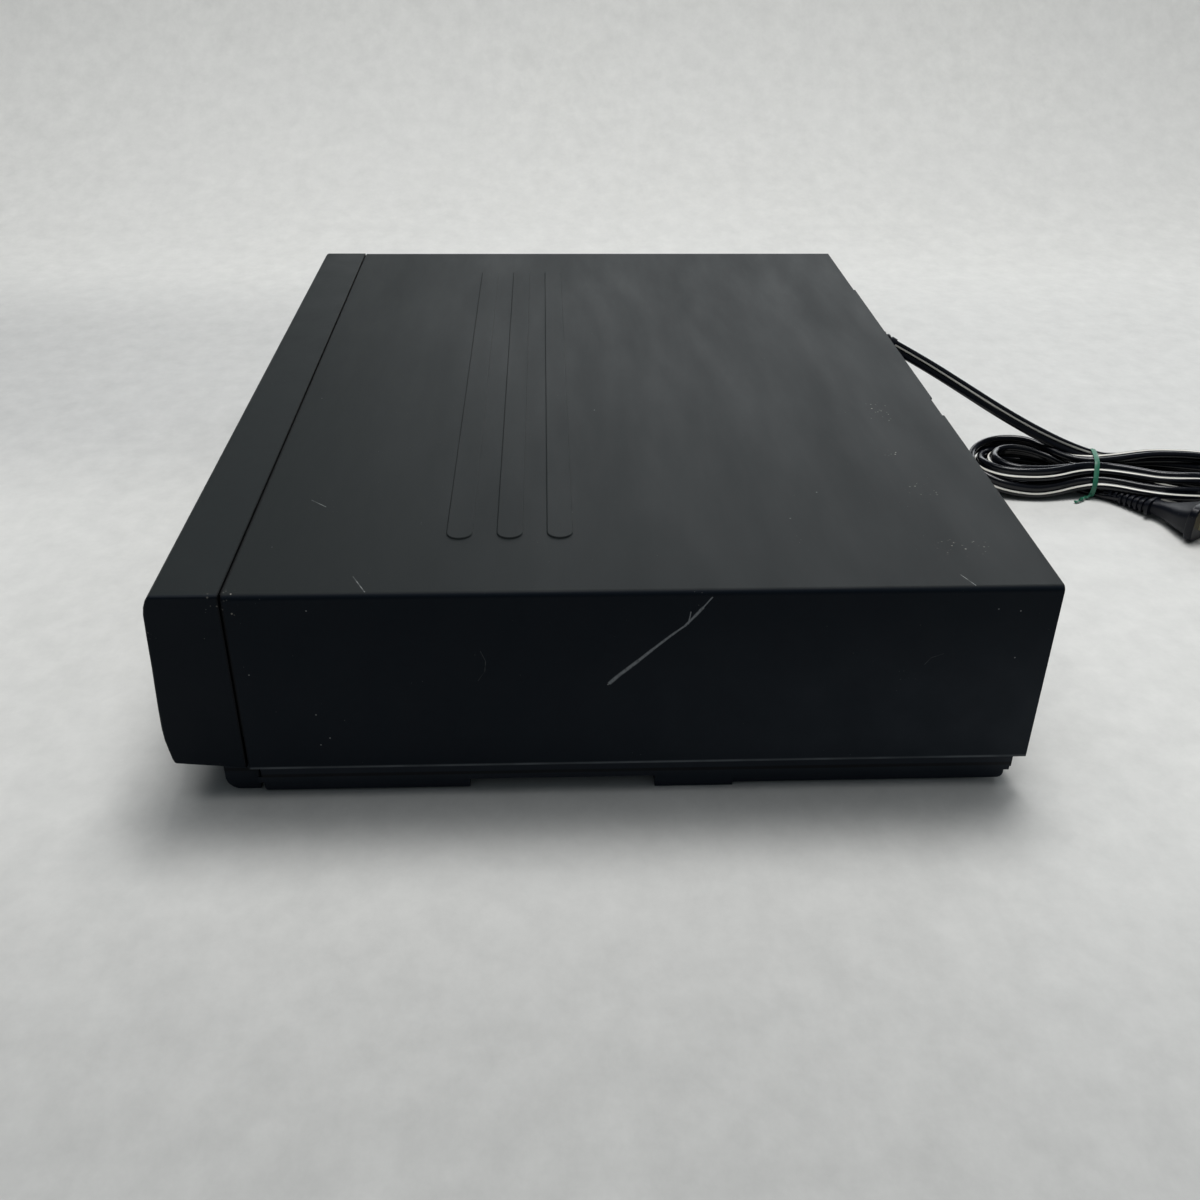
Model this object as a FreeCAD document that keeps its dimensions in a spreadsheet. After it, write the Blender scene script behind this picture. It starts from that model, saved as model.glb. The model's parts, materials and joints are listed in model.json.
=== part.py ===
import FreeCAD, Part
import Sketcher
import math
import os
import re

# Video cassette recorder: a low, wide front-loading tape deck, built as an assembly of separate pieces.
# Row frame: +Z up, the front panel faces -Y, +X is the user's right. The origin is on the surface the deck stands on,
# under the middle of its bounding box. All sizes are in millimetres, and come from the table below.

Vec = FreeCAD.Vector
Rot = FreeCAD.Rotation
doc = FreeCAD.newDocument("VideoCassetteRecorder")
sheet = doc.addObject("Spreadsheet::Sheet", "Dims")

DIMS = [
    # casing
    ("body_w", 380.0, "width over the steel cover"),
    ("cover_d", 266.0, "depth of the steel cover, from the panel seam to its rear edge"),
    ("cover_top", 81.0, "height of the cover's top face above the floor"),
    ("cover_bot", 13.0, "height of the cover's lower edge above the floor"),
    ("sheet_t", 0.8, "thickness of the cover's sheet steel"),
    ("seam_y", -125.3, "plane of the seam between front panel and cover"),
    ("seam_gap", 0.8, "open gap at that seam"),
    ("bend_r", 1.9, "outside radius of the cover's bends"),
    ("panel_top", 21.7, "depth of the front panel at its top edge"),
    ("panel_mid", 25.0, "depth of the front panel half way up"),
    ("panel_belly", 26.0, "depth of the front panel at its fullest, low down"),
    ("panel_foot", 24.0, "depth of the front panel at its bottom edge"),
    ("panel_wall", 2.5, "wall of the front panel moulding"),
    ("bead_len", 300.0, "length of the stiffening beads pressed into the lid"),
    ("bead_w", 9.0, "width of one bead"),
    ("bead_pitch", 17.0, "spacing of the beads"),
    ("bead_rise", 0.5, "height of the pressing"),
    # base frame
    ("rim_in", 1.8, "how far the frame's upper rim stands inside the cover's side"),
    ("foot_in", 3.0, "how far the middle feet stand inside the cover's side"),
    ("skirt_in", 3.8, "how far the lower skirts stand inside the cover's side"),
    ("rim_z", 7.3, "underside of the rim"),
    ("skirt_z", 0.9, "underside of the skirts"),
    ("frame_wall", 2.6, "wall of the base frame"),
    ("frame_top", 24.0, "top of the base frame's side walls"),
    ("pad_z", 1.2, "height of the rubber foot pads"),
    ("pad_x", 172.0, "foot pads, each side of the middle"),
    ("pad_y0", 24.0, "front foot pads, behind the seam"),
    ("pad_y1", 238.0, "rear foot pads, behind the seam"),
    ("plate_z", 4.2, "underside of the bottom plate"),
    ("plate_t", 0.8, "thickness of the bottom plate"),
    ("rear_y", 263.0, "inner face of the rear panel, behind the seam"),
    ("rear_t", 1.4, "thickness of the rear panel"),
    ("board_z", 7.5, "underside of the circuit boards"),
    ("board_t", 1.6, "thickness of the circuit boards"),
    # tape transport
    ("mech_x", 35.0, "centre line of the tape transport"),
    ("deck_z", 20.5, "underside of the transport's deck plate"),
    ("deck_t", 1.2, "deck plate"),
    ("reel_y", 68.0, "reel centres, behind the seam"),
    ("reel_dx", 46.0, "reel centres, each side of the transport's centre line"),
    ("drum_y", 176.0, "head drum centre, behind the seam"),
    ("drum_r", 31.0, "head drum radius"),
    ("cap_x", 62.0, "capstan, right of the transport's centre line"),
    ("cap_y", 129.0, "capstan, behind the seam"),
    ("cap_r", 2.0, "capstan shaft radius"),
    ("run_fit", 0.05, "radial clearance of every running fit"),
    ("door_w", 198.0, "cassette door width"),
    ("door_z0", 46.3, "cassette door, lower edge"),
    ("door_z1", 76.2, "cassette door, upper edge"),
    ("door_t", 2.2, "cassette door thickness"),
    ("hinge_y", -22.0, "door hinge, measured back from the seam"),
    ("hinge_z", 75.4, "door hinge height"),
    ("hold_z0", 46.5, "underside of the cassette holder at its raised end"),
    ("hold_z1", 74.1, "top of the cassette holder at its raised end"),
    ("hold_y0", 24.0, "front of the cassette holder, behind the seam"),
    ("hold_d", 36.0, "depth of the cassette holder"),
    ("hold_half", 95.2, "half the inside width of the cassette holder"),
    ("button_z", 30.0, "height of the button row"),
    # mains cord
    ("cord_d", 5.0, "diameter of a round cord with the flat twin cord's section area"),
    ("sleeve_l", 21.0, "length of the gland's drooping sleeve"),
    ("hank_l", 132.0, "length of the hank"),
    ("hank_top", 19.0, "height of the hank"),
]
values = {}
for row, (alias, number, words) in enumerate(DIMS, start=1):
    sheet.set("A%d" % row, words)
    sheet.set("B%d" % row, repr(number))
    sheet.setAlias("B%d" % row, alias)
    values[alias] = number
doc.recompute()

WORDS = re.compile(r"\b(" + "|".join(sorted(values, key=len, reverse=True)) + r")\b")


def bound(expression):
    """The expression with each dimension named as a length of the table above."""
    return WORDS.sub(r"Dims.\1", str(expression))


def num(expression):
    """The same expression worked out as a plain number of millimetres."""
    text = WORDS.sub(lambda m: repr(float(sheet.get(m.group(1)))), str(expression))
    total = FreeCAD.Units.Quantity(text)
    return float(total.Value)


def drive(obj, prop, expression):
    obj.setExpression(prop, bound(expression))


# ---------------------------------------------------------------------------------------------------------------
# Helpers for primitives
# ---------------------------------------------------------------------------------------------------------------
serial = [0]


def unique(word):
    serial[0] += 1
    return "%s_%03d" % (word, serial[0])


def box(x0, x1, y0, y1, z0, z1, name="Box"):
    b = doc.addObject("Part::Box", unique(name))
    for prop, e in (("Length", "(%s) - (%s)" % (x1, x0)), ("Width", "(%s) - (%s)" % (y1, y0)), ("Height", "(%s) - (%s)" % (z1, z0)),
                    (".Placement.Base.x", x0), (".Placement.Base.y", y0), (".Placement.Base.z", z0)):
        drive(b, prop, e)
    return b


TURN = {"z": Rot(), "y": Rot(Vec(1, 0, 0), -90), "x": Rot(Vec(0, 1, 0), 90)}


def cyl(x, y, z, r, length, axis="z", name="Cylinder"):
    c = doc.addObject("Part::Cylinder", unique(name))
    c.Placement = FreeCAD.Placement(Vec(), TURN[axis])
    for prop, e in (("Radius", r), ("Height", length), (".Placement.Base.x", x), (".Placement.Base.y", y), (".Placement.Base.z", z)):
        drive(c, prop, e)
    return c


def cone(x, y, z, r1, r2, length, axis="z", name="Cone"):
    c = doc.addObject("Part::Cone", unique(name))
    c.Placement = FreeCAD.Placement(Vec(), TURN[axis])
    for prop, e in (("Radius1", r1), ("Radius2", r2), ("Height", length), (".Placement.Base.x", x), (".Placement.Base.y", y), (".Placement.Base.z", z)):
        drive(c, prop, e)
    return c


def fuse(*shapes, refine=True):
    f = doc.addObject("Part::MultiFuse", unique("Fuse"))
    f.Shapes = list(shapes)
    f.Refine = refine
    return f


def group(*shapes):
    c = doc.addObject("Part::Compound", unique("Group"))
    c.Links = list(shapes)
    return c


def cut(base, *tools):
    c = doc.addObject("Part::Cut", unique("Cut"))
    c.Base = base
    c.Tool = tools[0] if len(tools) == 1 else fuse(*tools)
    c.Refine = True
    return c


def round_edges(base, pick, radius):
    """Rounds the edges that pick chooses."""
    doc.recompute()
    edges = [i + 1 for i, e in enumerate(base.Shape.Edges) if pick(e)]
    if not edges:
        raise RuntimeError("no edge to round on " + base.Name)
    f = doc.addObject("Part::Fillet", unique("Fillet"))
    f.Base = base
    f.Edges = [(i, radius, radius) for i in edges]
    return f


def span(e):
    b = e.BoundBox
    return b.XMin, b.XMax, b.YMin, b.YMax, b.ZMin, b.ZMax


def near(a, b, tol=0.02):
    return abs(a - b) < tol


# ---------------------------------------------------------------------------------------------------------------
# Helpers for bodies made from sketches
# ---------------------------------------------------------------------------------------------------------------
class Maker:
    """One piece built up from profiles. Their planes: xy (normal +Z), xz (normal -Y), yz (normal +X)."""

    ROLES = {"xy": "XY_Plane", "xz": "XZ_Plane", "yz": "YZ_Plane"}

    def __init__(self, label):
        self.body = doc.addObject("PartDesign::Body", "Body_" + label)
        self.label = label

    def origin(self, role):
        return [o for o in self.body.Origin.OriginFeatures if o.Role == role][0]

    def sketch(self, plane, at, *loops):
        """at is the sketch plane's coordinate along the row axis that it is square to."""
        s = self.body.newObject("Sketcher::SketchObject", unique("Sketch_" + self.label))
        s.AttachmentSupport = [(self.origin(self.ROLES[plane]), "")]
        s.MapMode = "FlatFace"
        drive(s, ".AttachmentOffset.Base.z", "-(%s)" % at if plane == "xz" else at)
        for loop in loops:
            {"poly": self._poly, "rect": self._rect, "circle": self._circle, "slot": self._slot}[loop[0]](s, *loop[1:])
        return s

    def _pin(self, s, geo, point, x, y):
        for kind, e in (("DistanceX", x), ("DistanceY", y)):
            k = s.addConstraint(Sketcher.Constraint(kind, -1, 1, geo, point, num(e)))
            name = "%s%d_%d" % (kind[-1].lower(), geo, point)
            s.renameConstraint(k, name)
            drive(s, "Constraints." + name, e)

    def _poly(self, s, points):
        first = s.GeometryCount
        n = len(points)
        at = [Vec(num(x), num(y), 0) for x, y in points]
        for i in range(n):
            s.addGeometry(Part.LineSegment(at[i], at[(i + 1) % n]), False)
        for i in range(n):
            s.addConstraint(Sketcher.Constraint("Coincident", first + i, 2, first + (i + 1) % n, 1))
        for i, (x, y) in enumerate(points):
            self._pin(s, first + i, 1, x, y)

    def _rect(self, s, x0, x1, y0, y1):
        self._poly(s, [(x0, y0), (x1, y0), (x1, y1), (x0, y1)])

    def _circle(self, s, x, y, r):
        geo = s.addGeometry(Part.Circle(Vec(num(x), num(y), 0), Vec(0, 0, 1), num(r)), False)
        self._pin(s, geo, 3, x, y)
        k = s.addConstraint(Sketcher.Constraint("Radius", geo, num(r)))
        s.renameConstraint(k, "r%d" % geo)
        drive(s, "Constraints.r%d" % geo, r)

    def _slot(self, s, x0, x1, y, r):
        """An obround along the sketch's first axis, between end centres x0 and x1."""
        first = s.GeometryCount
        a, b, c, q = num(x0), num(x1), num(y), num(r)
        s.addGeometry(Part.LineSegment(Vec(a, c + q, 0), Vec(b, c + q, 0)), False)
        s.addGeometry(Part.ArcOfCircle(Part.Circle(Vec(b, c, 0), Vec(0, 0, 1), q), -math.pi / 2, math.pi / 2), False)
        s.addGeometry(Part.LineSegment(Vec(b, c - q, 0), Vec(a, c - q, 0)), False)
        s.addGeometry(Part.ArcOfCircle(Part.Circle(Vec(a, c, 0), Vec(0, 0, 1), q), math.pi / 2, 3 * math.pi / 2), False)
        for one, p, two, w in ((0, 2, 1, 2), (1, 1, 2, 1), (2, 2, 3, 2), (3, 1, 0, 1)):
            s.addConstraint(Sketcher.Constraint("Tangent", first + one, p, first + two, w))
        self._pin(s, first + 1, 3, x1, y)
        self._pin(s, first + 3, 3, x0, y)
        k = s.addConstraint(Sketcher.Constraint("Radius", first + 1, q))
        s.renameConstraint(k, "r%d" % first)
        drive(s, "Constraints.r%d" % first, r)

    def pad(self, plane, lo, hi, *loops):
        """Material from lo to hi along the plane's row axis."""
        s = self.sketch(plane, hi if plane == "xz" else lo, *loops)
        p = self.body.newObject("PartDesign::Pad", unique("Pad_" + self.label))
        p.Profile = s
        drive(p, "Length", "(%s) - (%s)" % (hi, lo))
        s.Visibility = False
        return p

    def pocket(self, plane, lo, hi, *loops):
        """Takes away material from lo to hi along the plane's row axis, and makes sure that it did."""
        doc.recompute()
        before = self.body.Shape.Volume
        s = self.sketch(plane, lo if plane == "xz" else hi, *loops)
        p = self.body.newObject("PartDesign::Pocket", unique("Pocket_" + self.label))
        p.Profile = s
        p.Type = 0
        drive(p, "Length", "(%s) - (%s)" % (hi, lo))
        doc.recompute()
        if self.body.Shape.Volume > before - 1e-3:
            raise RuntimeError("a pocket of %s cut nothing" % self.label)
        return p

    def turn(self, plane, at, *loops, groove=False):
        """Revolves loops about the sketch's own vertical axis through the origin of the body."""
        s = self.sketch(plane, at, *loops)
        r = self.body.newObject("PartDesign::Groove" if groove else "PartDesign::Revolution", unique("Turn_" + self.label))
        r.Profile = s
        r.ReferenceAxis = (s, ["V_Axis"])
        r.Angle = 360
        return r

    def tip(self):
        doc.recompute()
        return self.body.Tip

    def edges(self, kind, pick, radius):
        t = self.tip()
        names = ["Edge%d" % (i + 1) for i, e in enumerate(t.Shape.Edges) if pick(e)]
        if not names:
            for e in t.Shape.Edges:
                if e.Length > 100:
                    print("   edge", [round(v, 3) for v in span(e)], e.Curve.TypeId)
            raise RuntimeError("no edge chosen on " + self.label)
        f = self.body.newObject("PartDesign::" + kind, unique(kind + "_" + self.label))
        f.Base = (t, names)
        drive(f, "Radius" if kind == "Fillet" else "Size", radius)
        doc.recompute()
        if "Invalid" in f.State or "Error" in f.State or f.Shape.isNull() or not f.Shape.isValid():
            raise RuntimeError("%s of %s failed on %s" % (kind, self.label, names))
        return f

    def fillet(self, pick, radius):
        return self.edges("Fillet", pick, radius)

    def chamfer(self, pick, size):
        return self.edges("Chamfer", pick, size)

    def linear(self, feature, role, length, count):
        p = self.body.newObject("PartDesign::LinearPattern", unique("Row_" + self.label))
        p.Originals = [feature]
        p.Direction = (self.origin(role), [""])
        drive(p, "Length", length)
        p.Occurrences = count
        self.body.Tip = p
        doc.recompute()
        return p

    def polar(self, feature, count):
        p = self.body.newObject("PartDesign::PolarPattern", unique("Ring_" + self.label))
        p.Originals = [feature]
        p.Axis = (self.origin("Z_Axis"), [""])
        p.Angle = 360
        p.Occurrences = count
        self.body.Tip = p
        doc.recompute()
        return p

    def mirror(self, feature, role):
        p = self.body.newObject("PartDesign::Mirrored", unique("Mirror_" + self.label))
        p.Originals = feature if isinstance(feature, list) else [feature]
        p.MirrorPlane = (self.origin(role), [""])
        self.body.Tip = p
        doc.recompute()
        return p

    def place(self, x, y, z, rotation=None):
        """A body drawn round its own origin is set down in the row frame."""
        self.body.Placement = FreeCAD.Placement(Vec(num(x), num(y), num(z)), rotation or Rot())
        for prop, e in ((".Placement.Base.x", x), (".Placement.Base.y", y), (".Placement.Base.z", z)):
            drive(self.body, prop, e)
        return self.body


NODES = {}


def node(name, obj):
    if name in NODES:
        raise RuntimeError("two pieces are named " + name)
    obj.Label = name
    NODES[name] = obj
    return obj


def along(e, axis, length=None):
    """True for a straight edge parallel to one row axis, and at least that long."""
    if e.Curve.TypeId != "Part::GeomLine":
        return False
    b = e.BoundBox
    size = {"x": b.XLength, "y": b.YLength, "z": b.ZLength}
    rest = sum(v for k, v in size.items() if k != axis)
    return rest < 0.02 and size[axis] > (length or 0.02)


def yb(e):
    """A depth behind the seam, as a row coordinate."""
    return "seam_y + (%s)" % e


def xm(e):
    """A place across the tape transport, as a row coordinate."""
    return "mech_x + (%s)" % e


def zd(e):
    """A height above the deck plate's top face."""
    return "deck_z + deck_t + (%s)" % e


# ===============================================================================================================
# Casing
# ===============================================================================================================
# The steel cover: one sheet folded over both sides. Its lid has three plain stiffening beads pressed up across it,
# its sides end plain at the bottom, and narrow flanges with screw holes are folded in behind the rear panel's edge.
m = Maker("top_cover")
m.pad("xz", yb("seam_gap / 2"), yb("cover_d"), ("poly", [
    ("-body_w / 2", "cover_bot"), ("-body_w / 2", "cover_top"), ("body_w / 2", "cover_top"), ("body_w / 2", "cover_bot"),
    ("body_w / 2 - sheet_t", "cover_bot"), ("body_w / 2 - sheet_t", "cover_top - sheet_t"),
    ("sheet_t - body_w / 2", "cover_top - sheet_t"), ("sheet_t - body_w / 2", "cover_bot")]))
m.fillet(lambda e: along(e, "y", 200) and near(e.BoundBox.ZMin, num("cover_top")), "bend_r")
m.fillet(lambda e: along(e, "y", 200) and near(e.BoundBox.ZMin, num("cover_top - sheet_t")), "bend_r - sheet_t")
first = m.pad("xy", "cover_top - 0.1", "cover_top + bead_rise", ("slot", "-bead_len / 2", "bead_len / 2", yb("72"), "bead_w / 2"))
m.linear(first, "Y_Axis", "2 * bead_pitch", 3)
m.chamfer(lambda e: near(e.BoundBox.ZMin, num("cover_top + bead_rise")) and near(e.BoundBox.ZMax, num("cover_top + bead_rise")), "0.35")
under = m.pocket("xy", "cover_top - sheet_t - 0.1", "cover_top - sheet_t + 0.4", ("slot", "-bead_len / 2", "bead_len / 2", yb("72"), "bead_w / 2 - 0.7"))
m.linear(under, "Y_Axis", "2 * bead_pitch", 3)
m.pocket("xy", "cover_top - 3", "cover_top + 1", ("rect", "-body_w / 2 - 1", "-119.6", yb("cover_d - 0.8"), yb("cover_d + 1")))
m.pocket("xy", "cover_top - 3", "cover_top + 1", ("rect", "31.9", "50.7", yb("cover_d - 0.8"), yb("cover_d + 1")))
for side in ("-", ""):
    lo, hi = ("-body_w / 2 + 0.3", "-178") if side else ("178", "body_w / 2 - 0.3")
    m.pad("xz", yb("cover_d - 0.8"), yb("cover_d"), ("rect", lo, hi, "20", "74"))
    m.pocket("xz", yb("cover_d - 2"), yb("cover_d + 1"), ("circle", side + "183", "48", "1.7"))
m.pad("xz", yb("cover_d - 1.6"), yb("cover_d - 0.8"), ("rect", "34", "48.6", "66", "cover_top - 0.3"))
m.pocket("xz", yb("cover_d - 2"), yb("cover_d"), ("circle", "41.3", "71.5", "1.7"))
node("top_cover", m.body)

# The front panel: a hollow plastic moulding, open behind. Its side view leans out to a belly low down.
m = Maker("front_panel")
m.pad("yz", "-body_w / 2", "body_w / 2", ("poly", [
    (yb("-seam_gap / 2"), "cover_bot + 0.3"), (yb("-seam_gap / 2"), "cover_top"), (yb("-panel_top"), "cover_top"), (yb("-panel_top - 1.2"), "79.4"), (yb("-panel_top - 2.1"), "77"), (yb("-panel_top - 2.6"), "74.2"), (yb("0.35 - panel_mid"), "66"),
    (yb("-panel_mid"), "55"), (yb("-panel_mid - 0.4"), "47"), (yb("0.2 - panel_belly"), "38"), (yb("-panel_belly"), "30"), (yb("0.2 - panel_belly"), "25.5"), (yb("0.8 - panel_belly"), "21.4"), (yb("-panel_foot - 0.6"), "17.8"), (yb("-panel_foot"), "cover_bot + 2.7")]))
m.fillet(lambda e: along(e, "x", 300) and near(e.BoundBox.ZMin, num("cover_top")) and near(e.BoundBox.YMin, num(yb("-panel_top"))), "1.5")
m.fillet(lambda e: along(e, "x", 300) and near(e.BoundBox.ZMin, num("cover_bot + 2.7")), "1.2")
m.fillet(lambda e: abs(abs(e.BoundBox.XMin) - num("body_w / 2")) < 0.01 and e.BoundBox.XLength < 1e-4 and e.BoundBox.YMax < num(yb("-seam_gap / 2 - 1")) and e.BoundBox.ZMin > 14.2, "0.9")
m.pocket("yz", "2.5 - body_w / 2", "body_w / 2 - 2.5", ("poly", [
    (yb("1"), "cover_bot + 2.5"), (yb("1"), "cover_top - panel_wall"), (yb("1.4 - panel_top"), "cover_top - panel_wall"), (yb("0.4 - panel_top"), "76"),
    (yb("panel_wall - panel_mid"), "55"), (yb("panel_wall - panel_belly"), "31"), (yb("panel_wall + 0.1 - panel_belly"), "25"), (yb("1.9 - panel_foot"), "cover_bot + 5.4"), (yb("3.4 - panel_foot"), "cover_bot + 4.6"), (yb("-9.5"), "cover_bot + 2.9")]))
# the cassette mouth and the display window's opening
m.pocket("xz", yb("-30"), yb("-15"), ("rect", xm("-door_w / 2 - 0.4"), xm("door_w / 2 + 0.4"), "door_z0 - 0.4", "door_z1 + 0.7"))
m.pocket("xz", yb("-30"), yb("-15"), ("rect", "-84", "52", "20.8", "39.2"))
# a flange that steps in under the steel cover, along the top and down both sides
m.pad("xz", yb("-3.4"), yb("3.2"), ("rect", "-187", "187", "cover_top - 2.6", "cover_top - sheet_t - 0.3"))
m.pad("xz", yb("-3.4"), yb("3.2"), ("rect", "186.6", "188.7", "26", "76"))
m.pad("xz", yb("-3.4"), yb("3.2"), ("rect", "-188.7", "-186.6", "26", "76"))
# lugs for the door's hinge pins
for a, b in ((xm("-door_w / 2 - 3.6"), xm("-door_w / 2 - 0.4")), (xm("door_w / 2 + 0.4"), xm("door_w / 2 + 3.6"))):
    m.pad("xz", yb("-22.6"), yb("-17.5"), ("rect", a, b, "72.4", "78.8"))
m.pocket("yz", xm("-door_w / 2 - 3.7"), xm("door_w / 2 + 3.7"), ("circle", yb("hinge_y"), "hinge_z", "1.2 + run_fit"))
# holes for the buttons
for x in ("-160", "-128", "-106", "74", "96", "118", "140", "162"):
    m.pocket("xz", yb("-30"), yb("-18"), ("circle", x, "button_z", "7.4" if x == "-160" else "5.9"))
node("front_panel", m.body)

# The smoked window over the display, a plate with a flange behind the panel's wall.
m = Maker("display_window")
m.pad("yz", "-83.7", "51.7", ("poly", [
    (yb("-25"), "21.1"), (yb("-25.6"), "25"), (yb("-25.75"), "31"), (yb("-25.35"), "38.9"), (yb("-21.6"), "38.9"), (yb("-21.6"), "21.1")]))
m.pad("xz", yb("-22.4"), yb("-20.7"), ("rect", "-87", "55", "20.3", "41"))
node("display_window", m.body)

# The base frame: a plastic ring that everything stands on, with a rim under the cover's lower edge, stepped skirts
# and feet along each side, a ledge for the bottom plate and bosses for the rubber pads.
pieces = []
for s in ("-", ""):
    def bx(lo, hi, *rest):
        return box("-(%s)" % hi, "-(%s)" % lo, *rest) if s else box(lo, hi, *rest)
    out = "body_w / 2"
    pieces += [
        bx(out + " - rim_in - frame_wall", out + " - rim_in", yb("3.6"), yb("262.4"), "rim_z", "frame_top"),
        bx(out + " - skirt_in - frame_wall", out + " - skirt_in", yb("3.6"), yb("74"), "skirt_z", "rim_z + 2"),
        bx(out + " - skirt_in - frame_wall", out + " - skirt_in", yb("165"), yb("261"), "skirt_z", "rim_z + 2"),
        bx(out + " - foot_in - 9", out + " - foot_in", yb("138"), yb("165.2"), "0.3", "rim_z"),
        bx("150", out + " - rim_in - 1", yb("2.2"), yb("262.4"), "plate_z + plate_t", "rim_z"),
        bx("140", out + " - 5.6", yb("-9.8"), yb("1.8"), "0.3", "cover_bot - 0.3"),
        bx("140", out + " - 9", yb("1"), yb("4"), "0.3", "cover_bot - 0.3"),
        cyl(s + "pad_x", yb("pad_y0"), "pad_z", "10", "plate_z + plate_t - pad_z"),
        cyl(s + "pad_x", yb("pad_y1"), "pad_z", "10", "plate_z + plate_t - pad_z"),
    ]
pieces += [
    box("-185", "185", yb("2.2"), yb("14"), "plate_z + plate_t", "rim_z"),
    box("-185", "185", yb("250"), yb("262.4"), "plate_z + plate_t", "rim_z"),
    box("-187", "187", yb("3.6"), yb("6.2"), "rim_z - 0.5", "frame_top"),
    box("-187", "187", yb("259.8"), yb("262.4"), "rim_z - 0.5", "frame_top"),
]
frame = cut(fuse(*pieces), box("-8", "112", yb("255"), yb("265"), "9", "frame_top + 1"))
frame = round_edges(frame, lambda e: along(e, "x", 20) and near(e.BoundBox.ZMin, 0.3) and near(e.BoundBox.YMin, num(yb("-9.8"))), 5.0)
frame = round_edges(frame, lambda e: along(e, "x", 2) and near(e.BoundBox.ZMin, num("skirt_z")) and near(e.BoundBox.YMin, num(yb("3.6"))), 1.2)
frame = round_edges(frame, lambda e: along(e, "x", 2) and near(e.BoundBox.ZMin, num("skirt_z")) and near(e.BoundBox.YMin, num(yb("261"))), 2.0)
node("base_frame", frame)

# The steel bottom plate with rows of vent slots, and pressed-up studs that carry the circuit boards.
m = Maker("bottom_plate")
m.pad("xy", "plate_z", "plate_z + plate_t", ("rect", "-158", "158", yb("8"), yb("256")))
for x, y in (("-140", "130"), ("-90", "130"), ("-140", "246"), ("-90", "246"), ("-45", "52"), ("60", "52"), ("145", "60"), ("-45", "240"), ("30", "246"), ("145", "246")):
    m.pad("xy", "plate_z + plate_t - 0.1", "board_z", ("circle", x, yb(y), "3"))
slit = m.pocket("xy", "plate_z - 0.5", "plate_z + plate_t + 0.5", ("slot", "-136", "-96", yb("150"), "1.6"))
m.linear(slit, "Y_Axis", "80", 9)
slit = m.pocket("xy", "plate_z - 0.5", "plate_z + plate_t + 0.5", ("slot", "70", "120", yb("150"), "1.6"))
m.linear(slit, "Y_Axis", "80", 9)
node("bottom_plate", m.body)

# Four rubber pads under the frame's bosses.
node("rubber_feet", group(*[cyl(s + "pad_x", yb(y), "0", "8", "pad_z") for s in ("-", "") for y in ("pad_y0", "pad_y1")]))

# The rear panel, with vent slits, cut-outs for the sockets, the cord and the channel switch.
m = Maker("rear_panel")
m.pad("xz", yb("rear_y"), yb("rear_y + rear_t"), ("rect", "-188.4", "188.4", "cover_bot + 0.3", "cover_top - 1.2"))
for x in ("-183", "183"):
    m.pad("xz", yb("rear_y + rear_t - 0.1"), yb("cover_d - 0.8"), ("circle", x, "48", "4.5"))
    m.pocket("xz", yb("rear_y - 1"), yb("cover_d"), ("circle", x, "48", "1.2"))
m.pocket("xz", yb("rear_y - 1"), yb("cover_d"), ("circle", "41.3", "71.5", "1.2"))
m.pocket("xz", yb("rear_y - 1"), yb("cover_d"), ("rect", "-115.6", "-97.8", "57.2", "67.8"))
for x in ("72", "98"):
    m.pocket("xz", yb("rear_y - 1"), yb("cover_d"), ("circle", x, "34", "6.2"))
for x in ("4", "22", "40"):
    m.pocket("xz", yb("rear_y - 1"), yb("cover_d"), ("circle", x, "34", "4.6"))
m.pocket("xz", yb("rear_y - 1"), yb("cover_d"), ("rect", "125.5", "138.5", "31", "37"))
slit = m.pocket("xz", yb("rear_y - 1"), yb("cover_d"), ("rect", "-170", "-168", "24", "46"))
m.linear(slit, "X_Axis", "60", 13)
node("rear_panel", m.body)

# Three screws that hold the cover to the rear panel.
screws = []
for x, z, y in (("-183", "48", "cover_d"), ("183", "48", "cover_d"), ("41.3", "71.5", "cover_d - 0.8")):
    head = fuse(cyl(x, yb(y), z, "3.2", "1.9", "y"), cyl(x, yb(y + " - 3.6"), z, "1.15", "4", "y"))
    screws.append(cut(head, box("(%s) - 2.2" % x, "(%s) + 2.2" % x, yb(y + " + 1"), yb(y + " + 3"), "(%s) - 0.4" % z, "(%s) + 0.4" % z),
                      box("(%s) - 0.4" % x, "(%s) + 0.4" % x, yb(y + " + 1"), yb(y + " + 3"), "(%s) - 2.2" % z, "(%s) + 2.2" % z)))
node("cover_screws", group(*screws))

# ===============================================================================================================
# Sockets, switch and circuit boards
# ===============================================================================================================
BT = "board_z + board_t"
node("tuner_module", round_edges(fuse(box("60", "110", yb("222"), yb("260"), BT, "46"), box("66", "104", yb("228"), yb("254"), "45.5", "47")), lambda e: along(e, "z", 30), 1.2))
sockets = []
for x in ("72", "98"):
    s = fuse(cyl(x, yb("260"), "34", "5.9", "5.6", "y"), cyl(x, yb("265"), "34", "4.75", "11", "y"))
    s = cut(s, cyl(x, yb("268"), "34", "3.1", "9", "y"))
    sockets.append(fuse(s, cyl(x, yb("267"), "34", "1.2", "6", "y"), cyl(x, yb("267.4"), "34", "5.3", "0.5", "y")))
node("antenna_sockets", group(*sockets))
node("av_jack_block", fuse(box("-6", "50", yb("246"), yb("262.6"), BT, "44"), box("-2", "46", yb("240"), yb("247"), BT, "20")))
for name, x in (("video_jack", "4"), ("audio_left_jack", "22"), ("audio_right_jack", "40")):
    s = fuse(cyl(x, yb("262.6"), "34", "4.2", "10.6", "y"), cyl(x, yb("264.5"), "34", "6.4", "2.2", "y"))
    node(name, cut(s, cyl(x, yb("264"), "34", "3.2", "10", "y"), cone(x, yb("272.6"), "34", "3.2", "3.7", "0.8", "y")))
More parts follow.
